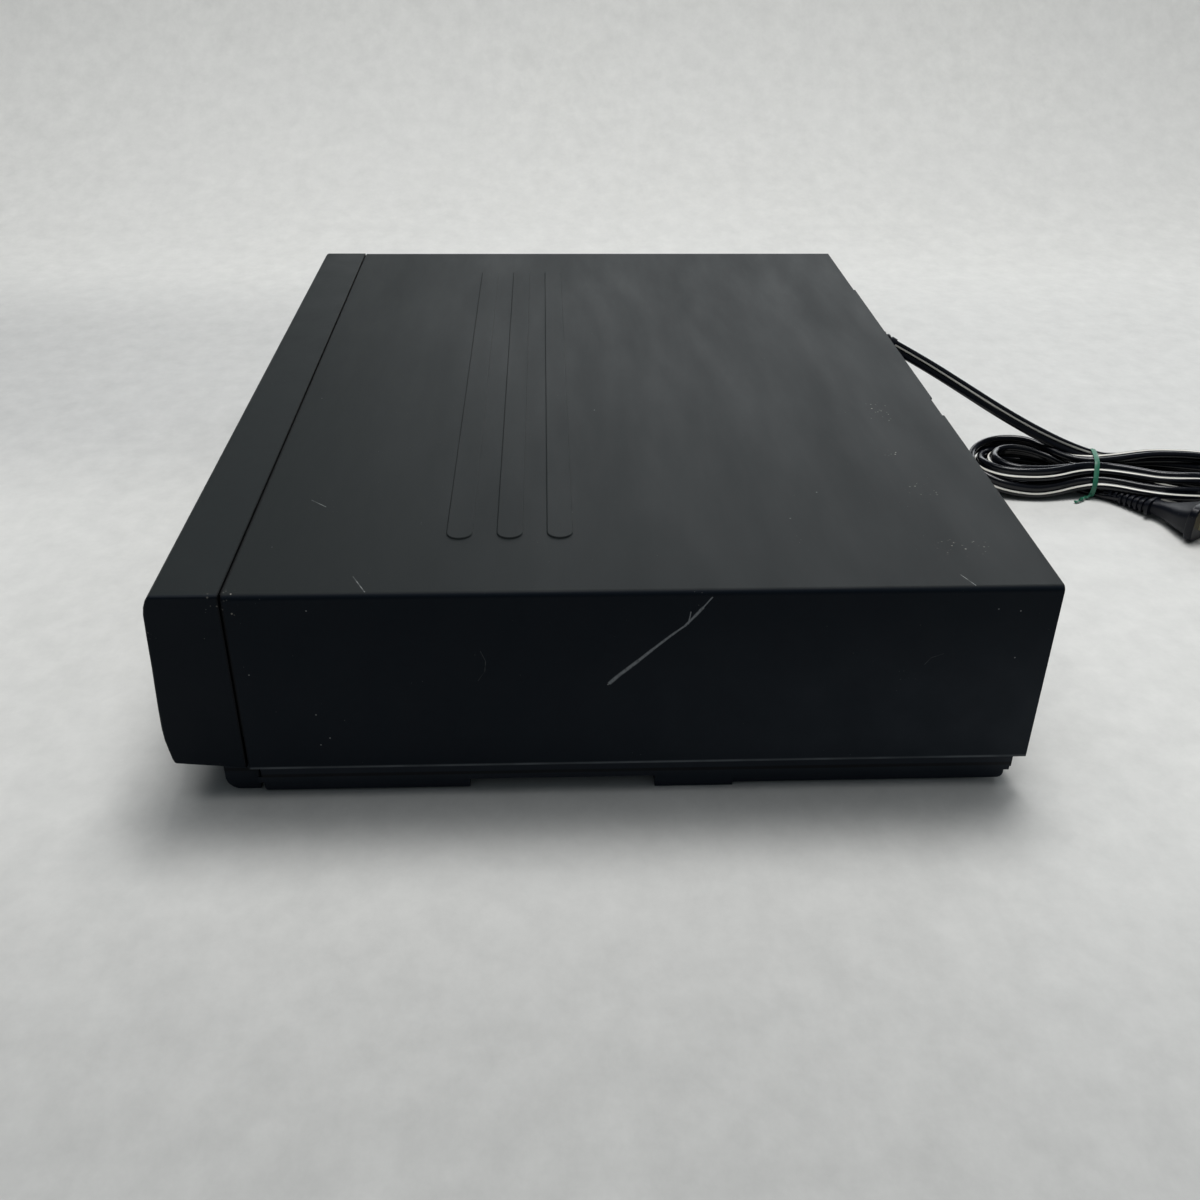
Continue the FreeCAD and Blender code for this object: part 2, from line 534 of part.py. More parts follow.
node("channel_switch", round_edges(fuse(box("127", "131.4", yb("258"), yb("267"), "32.2", "35.8"), box("124.5", "134", yb("260.6"), yb("262.4"), "30", "38")), lambda e: along(e, "z", 3) and e.BoundBox.YMin > num(yb("266")), 0.6))

m = Maker("main_board")
m.pad("xy", "board_z", BT, ("rect", "-60", "182", yb("40"), yb("256")))
for x, y in (("139", "50"), ("139", "205")):
    m.pocket("xy", "board_z - 1", BT + " + 1", ("circle", x, yb(y), "5"))
m.pocket("xy", "board_z - 1", BT + " + 1", ("rect", "-61", "-50", yb("39"), yb("64")))
node("main_board", m.body)
m = Maker("power_board")
m.pad("xy", "board_z", BT, ("rect", "-182", "-80", yb("120"), yb("256")))
m.pocket("xy", "board_z - 1", BT + " + 1", ("slot", "-150", "-110", yb("190"), "1.5"))
node("power_board", m.body)
core = box("-167", "-133", yb("206"), yb("236"), BT + " + 3", "40")
coil = round_edges(box("-161", "-139", yb("200"), yb("242"), BT, "36"), lambda e: along(e, "z", 10), 3)
node("transformer", fuse(core, coil))
# the heat sink's fins stand on one plate
m = Maker("heat_sink")
m.pad("xy", BT, "50", ("rect", "-104", "-101", yb("140"), yb("200")))
fin = m.pad("xy", BT + " + 3", "50", ("rect", "-112", "-93", yb("141"), yb("142.6")))
m.linear(fin, "Y_Axis", "56", 9)
node("heat_sink", m.body)
caps = [round_edges(cyl(x, yb(y), BT, r, h), lambda e: near(e.BoundBox.ZMin, e.BoundBox.ZMax, 1e-3) and e.BoundBox.ZMin > 15, 0.8)
        for x, y, r, h in (("-164", "178", "11", "30"), ("-140", "162", "6", "20"), ("-124", "162", "6", "20"), ("-126", "176", "5", "15"), ("-170", "146", "8", "24"))]
node("capacitors", group(*caps))

m = Maker("front_board")
m.pad("xz", yb("-8.4"), yb("-6.8"), ("rect", "-180", "180", "16.2", "43.4"))
m.pad("xz", yb("-15"), yb("-8.3"), ("rect", "-70", "38", "21.5", "38.5"))
switch = m.pad("xz", yb("-11.2"), yb("-8.3"), ("rect", "71", "77", "27", "33"))
m.linear(switch, "X_Axis", "88", 5)
for x in (-160, -128, -106):
    m.pad("xz", yb("-11.2"), yb("-8.3"), ("rect", "%d" % (x - 3), "%d" % (x + 3), "27", "33"))
node("front_board", m.body)
m = Maker("ribbon_cable")
m.pad("yz", "-46", "-8", ("poly", [
    (yb("-6.8"), "26.5"), (yb("6.6"), "26.5"), (yb("15.5"), "14.5"), (yb("44"), BT + " + 0.5"), (yb("48"), BT + " + 0.5"), (yb("48"), BT), (yb("43.5"), BT), (yb("15"), "14"), (yb("6.2"), "26"), (yb("-6.8"), "26")]))
node("ribbon_cable", m.body)

# ===============================================================================================================
# Tape transport
# ===============================================================================================================
m = Maker("deck_plate")
m.pad("xy", "deck_z", "deck_z + deck_t", ("rect", xm("-110"), xm("110"), yb("34"), yb("212")))
m.fillet(lambda e: along(e, "z"), "6")
PINS = (("-reel_dx", "reel_y", "1.5", "15.8"), ("reel_dx", "reel_y", "1.5", "15.8"), ("0", "38", "1.5", "4.6"), ("-72", "108", "1.5", "3.4"), ("86", "152", "2", "9"), ("-78", "160", "2", "7"))
for x, y, r, h in PINS:
    m.pad("xy", "deck_z + 0.2", zd(h), ("circle", xm(x), yb(y), r))
m.pad("xy", "deck_z - 4.5", zd("3.5"), ("circle", xm("cap_x"), yb("cap_y"), "4.5"))
m.pocket("xy", "deck_z - 6", zd("5"), ("circle", xm("cap_x"), yb("cap_y"), "cap_r + run_fit"))
for x in ("-38", "38"):
    m.pocket("xy", "deck_z - 1", zd("1"), ("rect", xm(x + " - 2.2"), xm(x + " + 2.2"), yb("106"), yb("182")))
for x in ("-70", "70"):
    m.pocket("xy", "deck_z - 1", zd("1"), ("rect", xm(x + " - 12"), xm(x + " + 12"), yb("124" if x == "-70" else "180"), yb("138" if x == "-70" else "200")))
node("deck_plate", m.body)
node("deck_supports", group(*[cyl(xm(x), yb(y), "plate_z + plate_t", "4", "deck_z - plate_z - plate_t") for x in ("-104", "104") for y in ("50", "205")]))

# the loader's fixed frame: two slotted side plates with feet, tied across the top
pieces = []
for s in ("-", ""):
    def bx(lo, hi, *rest):
        return box(xm("-(%s)" % hi), xm("-(%s)" % lo), *rest) if s else box(xm(lo), xm(hi), *rest)
    side = bx("99", "100.2", yb("22"), yb("132"), zd("0"), "77")
    side = cut(side, bx("98", "101", yb("27.8"), yb("122"), "64.2", "67.8"), bx("98", "101", yb("36"), yb("118"), zd("8"), "58"))
    pieces += [side, bx("99", "107", yb("40"), yb("56"), zd("0"), zd("1.2")), bx("99", "107", yb("104"), yb("120"), zd("0"), zd("1.2"))]
pieces += [box(xm("-100.2"), xm("100.2"), yb("68"), yb("92"), "76.2", "77"), box(xm("-100.2"), xm("100.2"), yb("91.2"), yb("92"), "75.4", "77")]
node("loader_frame", fuse(*pieces))

# the slider runs front to back on pins in the side plates' slots; upright slots in it carry the holder
pieces = []
for s in ("-", ""):
    def bx(lo, hi, *rest):
        return box(xm("-(%s)" % hi), xm("-(%s)" % lo), *rest) if s else box(xm(lo), xm(hi), *rest)
    arm = bx("97", "98.2", yb("25"), yb("59"), "37", "75")
    arm = cut(arm, bx("96", "99", yb("30.2"), yb("33.8"), "39.2", "62"), bx("96", "99", yb("50.2"), yb("53.8"), "39.2", "62"))
    pieces.append(arm)
    for y in ("30", "54"):
        pieces.append(cyl(xm("-100.4" if s else "98"), yb(y), "66", "1.5", "2.4", "x"))
pieces.append(box(xm("-98.2"), xm("98.2"), yb("40"), yb("54"), "74.3", "75"))
node("carriage_slider", fuse(*pieces))

# the cassette holder: side walls with narrow ledges below, a top plate and two leaf springs pressed out of it
pieces = []
for s in ("-", ""):
    def bx(lo, hi, *rest):
        return box(xm("-(%s)" % hi), xm("-(%s)" % lo), *rest) if s else box(xm(lo), xm(hi), *rest)
    pieces += [bx("hold_half", "hold_half + 0.8", yb("hold_y0"), yb("hold_y0 + hold_d"), "hold_z0", "hold_z1"),
               bx("hold_half - 10", "hold_half + 0.8", yb("hold_y0"), yb("hold_y0 + hold_d"), "hold_z0", "hold_z0 + 0.8")]
    for y in ("32", "52"):
        pieces.append(cyl(xm("-98.7" if s else "hold_half + 0.4"), yb(y), "60", "1.5", "3.1", "x"))
top = cut(box(xm("-hold_half - 0.8"), xm("hold_half + 0.8"), yb("hold_y0 + 3"), yb("hold_y0 + hold_d"), "hold_z1 - 0.8", "hold_z1"),
          box(xm("-60"), xm("-30"), yb("34"), yb("48"), "72", "75"), box(xm("30"), xm("60"), yb("34"), yb("48"), "72", "75"),
          box(xm("-18"), xm("18"), yb("32"), yb("50"), "72", "75"))
pieces.append(top)
pieces += [box(xm("-46"), xm("-42"), yb("33"), yb("46"), "72.6", "73.4"), box(xm("42"), xm("46"), yb("33"), yb("46"), "72.6", "73.4")]
node("cassette_holder", fuse(*pieces))

# the door: a flap hung on two pins at its top, that the cassette pushes inwards
m = Maker("cassette_door")
m.pad("yz", xm("-door_w / 2"), xm("door_w / 2"), ("poly", [
    (yb("-23.35"), "door_z1"), (yb("-23.8"), "60"), (yb("-24.4"), "door_z0"), (yb("-22.2"), "door_z0"), (yb("-21.6"), "60"), (yb("-21.15"), "door_z1")]))
m.pad("yz", xm("-door_w / 2 - 2.9"), xm("door_w / 2 + 2.9"), ("circle", yb("hinge_y"), "hinge_z", "0.95"))
m.pad("yz", xm("-door_w / 2 - 2.9"), xm("-door_w / 2 + 1"), ("circle", yb("hinge_y"), "hinge_z", "1.2"))
m.pad("yz", xm("door_w / 2 - 1"), xm("door_w / 2 + 2.9"), ("circle", yb("hinge_y"), "hinge_z", "1.2"))
node("cassette_door", m.body)


# reel tables, each turning on a fixed pin: drive rim, brake rim, hub and a three-finned spindle
def reel(name, x):
    r = Maker(name)
    r.turn("xz", "0", ("poly", [("1.5 + run_fit", "0.4"), ("26", "0.4"), ("26", "2.2"), ("21", "2.2"), ("21", "3.2"), ("11", "3.2"), ("11", "4.8"),
                                ("4.2", "4.8"), ("4.2", "14.4"), ("3", "17.6"), ("1.5 + run_fit", "17.6")]))
    fin = r.pad("xy", "4.7", "13.6", ("rect", "3.2", "6.4", "-0.7", "0.7"))
    r.polar(fin, 3)
    r.place(xm(x), yb("reel_y"), "deck_z + deck_t")
    node(name, r.body)


reel("supply_reel", "-reel_dx")
reel("take_up_reel", "reel_dx")

# the idler: a rubber-rimmed wheel on an arm between the two reels
m = Maker("idler_wheel")
m.turn("xz", "0", ("poly", [("1.5 + run_fit", "0.4"), ("15.6", "0.4"), ("16", "0.8"), ("16", "1.8"), ("15.6", "2.2"), ("1.5 + run_fit", "2.2")]))
m.place(xm("0"), yb("reel_y"), "deck_z + deck_t")
node("idler_wheel", m.body)
arm = fuse(box(xm("-4"), xm("4"), yb("38"), yb("reel_y"), zd("2.6"), zd("3.8")), cyl(xm("0"), yb("38"), zd("2.6"), "5", "1.2"), cyl(xm("0"), yb("reel_y"), zd("2.6"), "5", "1.2"),
           cyl(xm("0"), yb("reel_y"), zd("0.3"), "1.5", "2.4"))
node("idler_arm", cut(arm, cyl(xm("0"), yb("38"), zd("2"), "1.5 + run_fit", "3")))

# the tension arm, with the post that rides on the tape
m = Maker("tension_arm")
m.pad("xy", zd("0.5"), zd("1.7"), ("poly", [(xm("-77"), yb("104")), (xm("-73"), yb("102")), (xm("-47"), yb("112")), (xm("-46"), yb("119")), (xm("-50"), yb("120")), (xm("-74"), yb("113"))]))
m.fillet(lambda e: along(e, "z"), "1.8")
m.pad("xy", zd("1.6"), zd("21"), ("circle", xm("-50"), yb("116"), "1.6"))
m.pad("xy", zd("19.6"), zd("21"), ("circle", xm("-50"), yb("116"), "2.6"))
m.pocket("xy", zd("0"), zd("3"), ("circle", xm("-72"), yb("108"), "1.5 + run_fit"))
node("tension_arm", m.body)

# the head drum leans back five degrees; its lower half stands on the deck
LEAN = Rot(Vec(1, 0, 0), -5)


def leaning(x, y, r, lo, hi, name):
    """A cylinder about the drum's leaning axis, from lo to hi along it."""
    c = doc.addObject("Part::Cylinder", unique(name))
    drive(c, "Radius", r)
    drive(c, "Height", "(%s) - (%s)" % (hi, lo))
    c.Placement = FreeCAD.Placement(Vec(), LEAN)
    drive(c, ".Placement.Base.x", xm(x))
    drive(c, ".Placement.Base.y", "%s + (%s) * sin(5 deg) + (%s)" % (yb("drum_y"), lo, y))
    drive(c, ".Placement.Base.z", "deck_z + deck_t + (%s) * cos(5 deg)" % lo)
    return c


lower = cut(leaning("0", "0", "drum_r", "-6", "16", "Drum"), box(xm("-60"), xm("60"), yb("120"), yb("230"), "0", zd("0")), leaning("0", "0", "3 + run_fit", "3", "17", "Bore"))
node("drum_lower", fuse(lower, box(xm("-30"), xm("30"), yb("206"), yb("211"), zd("0"), zd("5"))))
rotor = fuse(leaning("0", "0", "drum_r", "16.4", "30", "Rotor"), leaning("0", "0", "3", "4", "17", "Shaft"))
heads = []
for x, y in (("0", "-drum_r"), ("0", "drum_r")):
    heads.append(leaning(x, y, "2.2", "15.8", "18.4", "Window"))
node("drum_upper", cut(rotor, *heads))
magnet = cut(fuse(leaning("0", "0", "24", "30", "36", "Magnet"), leaning("0", "0", "7", "35", "38", "Boss")), leaning("0", "0", "19", "33.5", "37", "Cup"))
node("drum_magnet", fuse(magnet, leaning("0", "0", "6", "30", "38", "Boss")))

# the capstan and its flywheel turn together; the stator lies between the flywheel and the deck
node("capstan", fuse(cyl(xm("cap_x"), yb("cap_y"), "10.4", "cap_r", "36.6"), cyl(xm("cap_x"), yb("cap_y"), "11", "22", "3.4"), cyl(xm("cap_x"), yb("cap_y"), "11", "8", "4.4")))
stator = cut(cyl(xm("cap_x"), yb("cap_y"), "deck_z - 3", "20", "3"), cyl(xm("cap_x"), yb("cap_y"), "deck_z - 4", "5.2", "5"))
node("capstan_stator", stator)

# the pinch roller swings up to the capstan on its arm
m = Maker("pinch_arm")
m.pad("xy", zd("4.4"), zd("6.2"), ("poly", [(xm("89"), yb("147.4")), (xm("90.6"), yb("156")), (xm("84"), yb("157")), (xm("59.6"), yb("149.8")), (xm("57.6"), yb("143.6")), (xm("62"), yb("140.6"))]))
m.fillet(lambda e: along(e, "z"), "2.4")
m.pad("xy", zd("2"), zd("8.4"), ("circle", xm("86"), yb("152"), "4.6"))
m.pad("xy", zd("6.1"), zd("23.8"), ("circle", xm("62.03"), yb("145.26"), "1.5"))
m.pocket("xy", zd("1"), zd("9"), ("circle", xm("86"), yb("152"), "2 + run_fit"))
node("pinch_arm", m.body)
m = Maker("pinch_roller")
m.turn("xz", "0", ("poly", [("1.5 + run_fit", "0"), ("5.7", "0"), ("6", "0.4"), ("6", "15.6"), ("5.7", "16"), ("1.5 + run_fit", "16")]))
m.place(xm("62.03"), yb("145.26"), zd("6.6"))
node("pinch_roller", m.body)

# the two tape posts ride on carriages in the deck's slots
for name, x, lean in (("supply_post", "-38", "-1.6"), ("take_up_post", "38", "1.6")):
    base = round_edges(box(xm(x + " - 5"), xm(x + " + 5"), yb("107"), yb("118"), zd("0.4"), zd("4.2")), lambda e: along(e, "z"), 2)
    roller = fuse(cyl(xm(x), yb("114"), zd("4"), "1.4", "21"), cyl(xm(x), yb("114"), zd("5"), "3", "17"), cyl(xm(x), yb("114"), zd("4"), "3.8", "1"), cyl(xm(x), yb("114"), zd("22"), "3.8", "1"))
    lean_post = cyl(xm(x), yb("109"), zd("4"), "1.2", "20")
    node(name + "_carriage", fuse(base, roller, lean_post, box(xm(x + " - 1.8"), xm(x + " + 1.8"), yb("109"), yb("116"), "deck_z - 1.5", zd("1")),
                                  box(xm(x + " - 4"), xm(x + " + 4"), yb("109"), yb("116"), "deck_z - 2.3", "deck_z - 0.4")))

# the cam gear that drives the posts, and the loading motor with its worm
m = Maker("cam_gear")
m.pad("xy", "1", "5", ("circle", "0", "0", "18"))
m.pad("xy", "0.4", "6.6", ("circle", "0", "0", "5"))
m.pocket("xy", "-1", "8", ("circle", "0", "0", "2 + run_fit"))
m.pocket("xy", "3.4", "6", ("circle", "10.4", "0", "3.2"))
gap = m.pocket("xy", "0", "6", ("poly", [("16.4", "-0.5"), ("18.6", "-1.05"), ("18.6", "1.05"), ("16.4", "0.5")]))
m.polar(gap, 36)
m.place(xm("-78"), yb("160"), "deck_z + deck_t")
node("cam_gear", m.body)
motor = fuse(round_edges(cyl(xm("-104"), yb("198"), zd("10"), "9", "26", "x"), lambda e: e.BoundBox.XLength < 1e-3, 1.2), cyl(xm("-79"), yb("198"), zd("10"), "3", "3", "x"), cyl(xm("-77"), yb("198"), zd("10"), "1", "17", "x"),
             cyl(xm("-72"), yb("198"), zd("10"), "2.6", "10", "x"), box(xm("-102"), xm("-82"), yb("191"), yb("205"), zd("0"), zd("4")))
node("loading_motor", motor)

node("control_head", fuse(round_edges(box(xm("47"), xm("58"), yb("160"), yb("171"), zd("4"), zd("20")), lambda e: along(e, "z", 10), 1.5), box(xm("45"), xm("60"), yb("158.5"), yb("174"), zd("0"), zd("4.4"))))
node("erase_head", fuse(round_edges(box(xm("-57"), xm("-48"), yb("146"), yb("155"), zd("3"), zd("19")), lambda e: along(e, "z", 10), 1.5), box(xm("-58"), xm("-47"), yb("144"), yb("157"), zd("0"), zd("3.4"))))

# ===============================================================================================================
# Buttons: a cap through the panel, a collar behind it, and a stem that reaches back to the switch
# ===============================================================================================================
for name, x, r in (("power_button", "-160", "7"), ("channel_down_button", "-128", "5.5"), ("channel_up_button", "-106", "5.5"), ("rewind_button", "74", "5.5"),
                   ("play_button", "96", "5.5"), ("forward_button", "118", "5.5"), ("stop_eject_button", "140", "5.5"), ("record_button", "162", "5.5")):
    cap = round_edges(cyl(x, yb("-26.8"), "button_z", r, "6", "y"), lambda e: e.BoundBox.YMax < num(yb("-26")), 0.9)
    node(name, fuse(cap, cyl(x, yb("-21.9"), "button_z", r + " + 2", "1.4", "y"), cyl(x, yb("-20.6"), "button_z", "2", "8", "y")))

# ===============================================================================================================
# Mains cord: gland, lead, hank, tie and plug. Everything but the lead lies on the floor behind the deck.
# ===============================================================================================================
CORD_D = num("cord_d")
SEAM = num("seam_y")


def floor_turn(x, y, degrees):
    """The placement of a piece drawn about its own origin and turned about the upright."""
    return FreeCAD.Placement(Vec(x, SEAM + y, 0), Rot(Vec(0, 0, 1), degrees))


# the gland: a block clipped into the rear panel, and a sleeve that droops with the cord
ROUTE = [Vec(-99.0, 285.0, 57.1), Vec(-92.5, 299.5, 50.6), Vec(-82.0, 318.0, 41.4), Vec(-72.4, 337.0, 31.4), Vec(-64.0, 355.5, 22.8), Vec(-57.2, 371.5, 16.8), Vec(-50.0, 385.5, 13.0)]
ROUTE = [Vec(p.x, p.y + SEAM, p.z) for p in ROUTE]
first_run = (ROUTE[1] - ROUTE[0]).normalize()
sleeve = doc.addObject("Part::Cone", unique("Sleeve"))
drive(sleeve, "Radius1", "cord_d + 0.1")
drive(sleeve, "Radius2", "cord_d * 0.7")
drive(sleeve, "Height", "sleeve_l")
sleeve.Placement = FreeCAD.Placement(ROUTE[0] - first_run * num("sleeve_l"), Rot(Vec(0, 0, 1), first_run))
gland = fuse(box("-117", "-95", yb("266.2"), yb("270"), "55.6", "69.6"), box("-115.4", "-98", yb("rear_y - 3"), yb("266.4"), "57.4", "67.6"), sleeve)
gland = cut(gland, box("-119", "-114.6", yb("rear_y - 1"), yb("rear_y + rear_t"), "50", "72"))
node("cord_gland", gland)


def corner(a, b, c):
    """The arc that rounds b between its two runs: 0.45 of the shorter run is used up on each side."""
    u, w = (a - b), (c - b)
    back = 0.45 * min(u.Length, w.Length)
    u.normalize()
    w.normalize()
    inner = math.acos(max(-1.0, min(1.0, u.dot(w))))
    turn = math.pi - inner
    radius = back / math.tan(turn / 2)
    mid_dir = (u + w).normalize()
    middle = b + mid_dir * (radius / math.cos(turn / 2) - radius)
    return b + u * back, middle, b + w * back, radius, math.degrees(turn)


edges, at, total = [], ROUTE[0], 0.0
for i in range(1, len(ROUTE) - 1):
    start, middle, end, radius, turn = corner(ROUTE[i - 1], ROUTE[i], ROUTE[i + 1])
    edges += [Part.LineSegment(at, start).toShape(), Part.Arc(start, middle, end).toShape()]
    print("cord corner %d: turn %.1f degrees, radius %.0f mm (%.0f diameters)" % (i, turn, radius, radius / CORD_D))
    at = end
edges.append(Part.LineSegment(at, ROUTE[-1]).toShape())
path = Part.Wire(edges)
ring = Part.Wire([Part.Circle(ROUTE[0], first_run, CORD_D / 2).toShape()])
tube = path.makePipeShell([ring], True, False)
print("cord lead: length %.1f mm, volume %.1f against section times length %.1f" % (path.Length, tube.Volume, math.pi * CORD_D ** 2 / 4 * path.Length))
lead = doc.addObject("Part::Feature", "Lead")
lead.Shape = tube

# the plug: ribbed strain relief, finger flange, a body that flares to its face
m = Maker("power_plug")
m.pad("yz", "-6", "19", ("rect", "-3.2", "3.2", "1.8", "6.9"))
rib = m.pad("yz", "-2.6", "-1", ("rect", "-4.2", "4.2", "0.9", "7.5"))
m.linear(rib, "X_Axis", "17.1", 7)
m.pad("yz", "17.8", "20.2", ("rect", "-6", "6", "0.9", "11.2"))
m.tip()
one = m.sketch("yz", "19.8", ("rect", "-4", "4", "2", "9.6"))
two = m.sketch("yz", "43.5", ("rect", "-12.2", "12.2", "0.8", "17.5"))
loft = m.body.newObject("PartDesign::AdditiveLoft", unique("Loft"))
loft.Profile = one
loft.Sections = [two]
m.tip()
m.pad("yz", "43.2", "47", ("rect", "-13.4", "13.4", "0", "18.4"))
m.fillet(lambda e: along(e, "x", 3) and e.BoundBox.XMin > 43 and e.BoundBox.XLength < 4.5, "2.4")
plug = m.body
plug.Placement = floor_turn(-28.7, 388.3, 36)
m = Maker("plug_blades")
for y in ("-6.35", "6.35"):
    m.pad("yz", "47", "64", ("rect", y + " - 0.75", y + " + 0.75", "6.1", "12.3"))
blades = m.body
blades.Placement = floor_turn(-28.7, 388.3, 36)

# the hank: the outer shape of five turns, wider in the loops than at the tie
m = Maker("hank")
outline = [("-hank_l / 2", "-9"), ("6 - hank_l / 2", "-17"), ("16 - hank_l / 2", "-22"), ("30 - hank_l / 2", "-23"), ("-18", "-17"), ("-4", "-13")]
near_side = outline + [("8", "-18"), ("18", "-24.5"), ("30", "-27.5"), ("44", "-27"), ("58", "-23.5"), ("66", "-14"), ("69.4", "-4.5")]
far_side = outline + [("12", "-14"), ("30", "-17.5"), ("46", "-18"), ("57", "-17"), ("65", "-11.5"), ("69.4", "-4.5")]
m.pad("xy", "0", "hank_top", ("poly", near_side + [(a, b[1:]) for a, b in reversed(far_side)]))
m.fillet(lambda e: near(e.BoundBox.ZMin, num("hank_top")) and near(e.BoundBox.ZMax, num("hank_top")), "6")
m.fillet(lambda e: near(e.BoundBox.ZMin, 0) and near(e.BoundBox.ZMax, 0), "5")
hank = m.body
hank.Placement = floor_turn(-44.0, 384.5, 77.5)


def on_floor(obj, x, y, degrees):
    """Turns a primitive drawn in the hank's or the plug's own frame into place."""
    obj.Placement = floor_turn(x, y, degrees).multiply(obj.Placement)
    return obj


def plain_box(x0, x1, y0, y1, z0, z1):
    b = doc.addObject("Part::Box", unique("Tie"))
    for prop, e in (("Length", "(%s) - (%s)" % (x1, x0)), ("Width", "(%s) - (%s)" % (y1, y0)), ("Height", "(%s) - (%s)" % (z1, z0))):
        drive(b, prop, e)
    b.Placement = FreeCAD.Placement(Vec(num(x0), num(y0), num(z0)), Rot())
    return on_floor(b, -44.0, 384.5, 77.5)


loop = cut(plain_box("-5.2", "-3.4", "-13.3", "13.3", "0", "hank_top + 0.3"), plain_box("-6", "-3", "-12.2", "12.2", "0.9", "hank_top - 0.8"))
tail = doc.addObject("Part::Cylinder", unique("Tail"))
drive(tail, "Radius", "0.8")
drive(tail, "Height", "9")
tail.Placement = FreeCAD.Placement(Vec(-4.3, -12.8, 0.85), Rot(Vec(0, 0, 1), Vec(-0.55, -0.83, 0.02)))
on_floor(tail, -44.0, 384.5, 77.5)
tie = fuse(loop, tail)
clear = cut(hank, loop, plug)
node("cord_twist_tie", tie)
node("power_cord_hank", clear)
node("power_cord_lead", cut(lead, hank))
node("power_plug", plug)
node("plug_blades", blades)


# ===============================================================================================================
# Check every object, then write one file for each piece
# ===============================================================================================================
doc.recompute()
bad = [o.Name for o in doc.Objects if "Invalid" in o.State or "Error" in o.State]
if bad:
    raise RuntimeError("objects that failed: %s" % bad)
for name, obj in NODES.items():
    shape = obj.Shape
    if shape.isNull() or not shape.isValid() or not shape.Solids:
        raise RuntimeError("the shape of %s is not sound" % name)
if len(NODES) > 60:
    raise RuntimeError("too many pieces: %d" % len(NODES))
os.makedirs("parts", exist_ok=True)
for old in os.listdir("parts"):
    if old.endswith(".step"):
        os.remove(os.path.join("parts", old))
for name, obj in NODES.items():
    shape = obj.Shape
    shape.exportStep(os.path.join("parts", name + ".step"))
    b = shape.BoundBox
    print("%-22s %2d solid(s) %10.1f mm3  x %7.2f..%7.2f  y %7.2f..%7.2f  z %6.2f..%6.2f" % (name, len(shape.Solids), shape.Volume, b.XMin, b.XMax, b.YMin, b.YMax, b.ZMin, b.ZMax))
print(len(NODES), "pieces")
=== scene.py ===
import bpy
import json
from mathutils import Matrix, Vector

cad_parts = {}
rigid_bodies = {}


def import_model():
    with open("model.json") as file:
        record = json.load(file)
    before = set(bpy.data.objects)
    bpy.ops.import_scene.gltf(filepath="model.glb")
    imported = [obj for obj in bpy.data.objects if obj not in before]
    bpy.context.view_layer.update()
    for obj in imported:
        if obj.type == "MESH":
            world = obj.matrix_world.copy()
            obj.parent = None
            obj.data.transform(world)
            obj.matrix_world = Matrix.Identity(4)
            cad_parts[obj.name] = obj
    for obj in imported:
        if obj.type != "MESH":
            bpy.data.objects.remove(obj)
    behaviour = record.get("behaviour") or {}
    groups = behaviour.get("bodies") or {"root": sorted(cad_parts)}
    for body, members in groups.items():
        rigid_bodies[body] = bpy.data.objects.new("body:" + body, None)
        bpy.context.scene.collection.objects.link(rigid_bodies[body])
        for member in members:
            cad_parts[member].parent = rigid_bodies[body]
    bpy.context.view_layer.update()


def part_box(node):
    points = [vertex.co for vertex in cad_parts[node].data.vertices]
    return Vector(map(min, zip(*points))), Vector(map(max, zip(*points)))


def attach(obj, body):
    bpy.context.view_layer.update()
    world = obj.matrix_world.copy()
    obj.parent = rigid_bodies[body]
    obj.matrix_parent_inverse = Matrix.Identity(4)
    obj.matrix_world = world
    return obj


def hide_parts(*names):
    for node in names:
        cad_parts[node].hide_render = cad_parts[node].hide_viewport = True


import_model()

import json
import math

import bmesh
import bpy
from mathutils import Matrix, Vector

scene = bpy.context.scene
MM = 0.001

# ------------------------------------------------------------------------------------------------------------------
# Camera: the photograph's place and angle, looking along -X at the deck's left side, a little down.
# ------------------------------------------------------------------------------------------------------------------
cam = bpy.data.cameras.new("camera")
cam.sensor_fit = "HORIZONTAL"
cam.sensor_width = 36.0
cam.lens = 37.22
cam.clip_start = 0.01
cam.clip_end = 20.0
camera = bpy.data.objects.new("camera", cam)
scene.collection.objects.link(camera)
right = Vector((0.04042046, 0.9991248, 0.01076167))
up = Vector((-0.51791822, 0.01173977, 0.85534957))
back = Vector((0.85447463, -0.04014729, 0.51793947))
place = Matrix((right, up, back)).transposed().to_4x4()
place.translation = Vector((0.5225, -0.0229, 0.2797))
camera.matrix_world = place
scene.camera = camera

# ------------------------------------------------------------------------------------------------------------------
# Small helpers
# ------------------------------------------------------------------------------------------------------------------


def new_object(name, mesh):
    o = bpy.data.objects.new(name, mesh)
    scene.collection.objects.link(o)
    return o


def smooth(mesh, degrees=35.0):
    for p in mesh.polygons:
        p.use_smooth = True
    mesh.set_sharp_from_angle(angle=math.radians(degrees))


def mesh_from(name, verts, faces, slots=None):
    m = bpy.data.meshes.new(name)
    m.from_pydata([tuple(v) for v in verts], [], faces)
    if slots:
        for p, s in zip(m.polygons, slots):
            p.material_index = s
    b = bmesh.new()
    b.from_mesh(m)
    bmesh.ops.recalc_face_normals(b, faces=b.faces)
    b.to_mesh(m)
    b.free()
    m.update()
    return m


